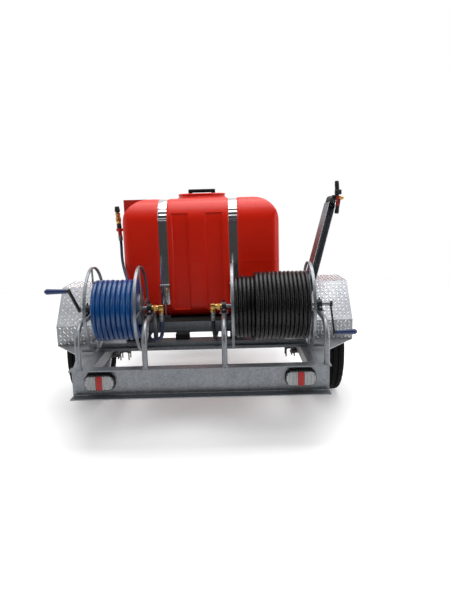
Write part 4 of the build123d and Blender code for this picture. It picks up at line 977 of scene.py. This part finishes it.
# ---------------------------------------------------------------- fasteners and small parts
STAND_XS = (-0.593, -0.266, 0.623, 0.124)
BEARER_BOLT_YS = (0.385, 0.445, 1.505, 1.555, 1.71, 1.95)
bm = bmesh.new()
for x in STAND_XS:
    for y, z in ((REAR + 0.025, 0.420), (REAR + 0.440, 0.462)):
        turned(
            bm, (x, y, z), Z_AXIS,
            [(0, 0.0185), (0.0015, 0.0182), (0.005, 0.0150), (0.008, 0.0137)], 28
        )
    for y in (AXLE_Y - 0.029, AXLE_Y + 0.029):
        nut(bm, (x, y, 0.659), Z_AXIS, 0.014, 0.007)
for x in (-0.33, 0.0, 0.33):
    turned(
        bm, (x, REAR + 0.022, 0.420), Z_AXIS, [(0, 0), (0, 0.0052), (0.0006, 0.0052), (0.0006, 0)],
        16
    )
for x in (-0.565, 0.565):
    for ahead in BEARER_BOLT_YS:
        nut(bm, (x, REAR + ahead, 0.462), Z_AXIS, 0.019, 0.008)
piece("frame_bolts_and_welds", bm, "galvanised", "root")

# A thin dark rubber sheet under the tank's rear edge: painted shade, put where the tank's curved
# underside falls dark.
bm = bmesh.new()
slab(bm, (0, REAR + 0.640, 0.5574), (0.870, 0.240, 0.0026), 0.0008)
piece("tank_rear_mat", bm, "rubber", "root")


# ---------------------------------------------------------------- stage: floor, light and camera
def area_light(name, place, target, size, power):
    """A soft rectangular light aimed at a point."""
    data = bpy.data.lights.new(name, "AREA")
    data.shape = "RECTANGLE"
    data.size, data.size_y = size
    data.energy = power
    lamp = bpy.data.objects.new(name, data)
    bpy.context.scene.collection.objects.link(lamp)
    lamp.location = place
    lamp.rotation_mode = "QUATERNION"
    lamp.rotation_quaternion = (Vector(target) - Vector(place)).to_track_quat("-Z", "Y")


# The floor is clear from FADE_BAND short of its rim, and starts to fade at FADE_FROM.
FLOOR_END, FADE_FROM, FADE_BAND = 5.4, 3.2, 0.2
FLOOR_SIDES = 96


def build_floor():
    """A pale round floor that fades out towards its rim."""
    rim = [2 * math.pi * k / FLOOR_SIDES for k in range(FLOOR_SIDES)]
    corners = [(FLOOR_END * math.cos(t), FLOOR_END * math.sin(t), 0) for t in rim]
    floor = bpy.data.meshes.new("floor")
    floor.from_pydata(corners, [], [tuple(range(FLOOR_SIDES))])
    ground = bpy.data.objects.new("floor", floor)
    bpy.context.scene.collection.objects.link(ground)
    mat = bpy.data.materials.new("floor")
    mat.use_nodes = True
    tree = mat.node_tree
    shader = tree.nodes["Principled BSDF"]
    shader.inputs["Base Color"].default_value = (0.86, 0.86, 0.86, 1)
    shader.inputs["Roughness"].default_value = 0.9
    shader.inputs["Emission Color"].default_value = (1, 1, 1, 1)
    shader.inputs["Emission Strength"].default_value = 0.22
    place = add_node(tree, "ShaderNodeTexCoord")
    reach = add_node(tree, "ShaderNodeVectorMath", operation="LENGTH")
    tree.links.new(place.outputs["Object"], reach.inputs[0])
    fade = add_node(
        tree, "ShaderNodeMapRange", {"From Min": FADE_FROM, "From Max": FLOOR_END - FADE_BAND}
    )
    tree.links.new(reach.outputs["Value"], fade.inputs["Value"])
    mix = add_node(tree, "ShaderNodeMixShader")
    tree.links.new(fade.outputs["Result"], mix.inputs[0])
    tree.links.new(shader.outputs["BSDF"], mix.inputs[1])
    tree.links.new(add_node(tree, "ShaderNodeBsdfTransparent").outputs["BSDF"], mix.inputs[2])
    tree.links.new(mix.outputs["Shader"], tree.nodes["Material Output"].inputs["Surface"])
    floor.materials.append(mat)


def build_sky():
    """A white sky that darkens behind the camera; the camera itself sees plain white."""
    world = bpy.data.worlds.new("sky")
    bpy.context.scene.world = world
    world.use_nodes = True
    tree = world.node_tree
    place = add_node(tree, "ShaderNodeTexCoord")
    axes = add_node(tree, "ShaderNodeSeparateXYZ")
    tree.links.new(place.outputs["Generated"], axes.inputs["Vector"])
    ahead = add_node(tree, "ShaderNodeMapRange", {
        "From Min": -0.75, "From Max": 0.35, "To Min": 0.06, "To Max": 0.9})
    tree.links.new(axes.outputs["Y"], ahead.inputs["Value"])
    above = add_node(tree, "ShaderNodeMapRange", {
        "From Min": 0.45, "From Max": 0.85, "To Min": 0.0, "To Max": 1.0})
    tree.links.new(axes.outputs["Z"], above.inputs["Value"])
    level = add_node(tree, "ShaderNodeMath", operation="MAXIMUM")
    tree.links.new(ahead.outputs["Result"], level.inputs[0])
    tree.links.new(above.outputs["Result"], level.inputs[1])
    seen = add_node(tree, "ShaderNodeLightPath")
    backdrop = add_node(tree, "ShaderNodeMath", operation="MAXIMUM")
    tree.links.new(level.outputs["Value"], backdrop.inputs[0])
    tree.links.new(seen.outputs["Is Camera Ray"], backdrop.inputs[1])
    tree.links.new(backdrop.outputs["Value"], tree.nodes["Background"].inputs["Strength"])
    tree.nodes["Background"].inputs["Color"].default_value = (1.0, 1.0, 1.0, 1)


def build_lights():
    """Three soft lights: one overhead, one from the left rear and one from the right rear."""
    area_light("overhead", (0.3, -0.5, 4.2), (0, -0.6, 0.6), (3.6, 3.6), 135)
    area_light("left_front", (-3.5, -3.6, 2.6), (0, -0.8, 0.6), (1.6, 1.6), 22)
    area_light("right_side", (3.4, -2.1, 1.7), (0.3, -0.8, 0.8), (1.4, 2.4), 30)


# Fitted to the photo: where the camera stands, its yaw, pitch and roll, and its lens in mm.
CAMERA_PLACE = (0.163, -4.088, 1.207)
CAMERA_TURN = (-0.0116, -0.1764, -0.0281)
CAMERA_LENS = 32.59


def build_camera():
    """The viewpoint: behind the trailer, at about the height of the tank's top."""
    yaw, pitch, roll = CAMERA_TURN
    ahead = Vector(
        (math.sin(yaw) * math.cos(pitch), math.cos(yaw) * math.cos(pitch), math.sin(pitch))
    )
    right = Vector((math.cos(yaw), -math.sin(yaw), 0))
    up = right.cross(ahead)
    across = right * math.cos(roll) + up * math.sin(roll)
    upward = up * math.cos(roll) - right * math.sin(roll)
    data = bpy.data.cameras.new("camera")
    data.sensor_width = 36
    data.lens = CAMERA_LENS
    data.clip_start = 0.05
    camera = bpy.data.objects.new("camera", data)
    bpy.context.scene.collection.objects.link(camera)
    turn = Matrix((across, upward, -ahead)).transposed().to_4x4()
    camera.matrix_world = Matrix.Translation(CAMERA_PLACE) @ turn
    bpy.context.scene.camera = camera


build_floor()
build_sky()
build_lights()
build_camera()
bpy.context.scene.view_settings.view_transform = "Standard"
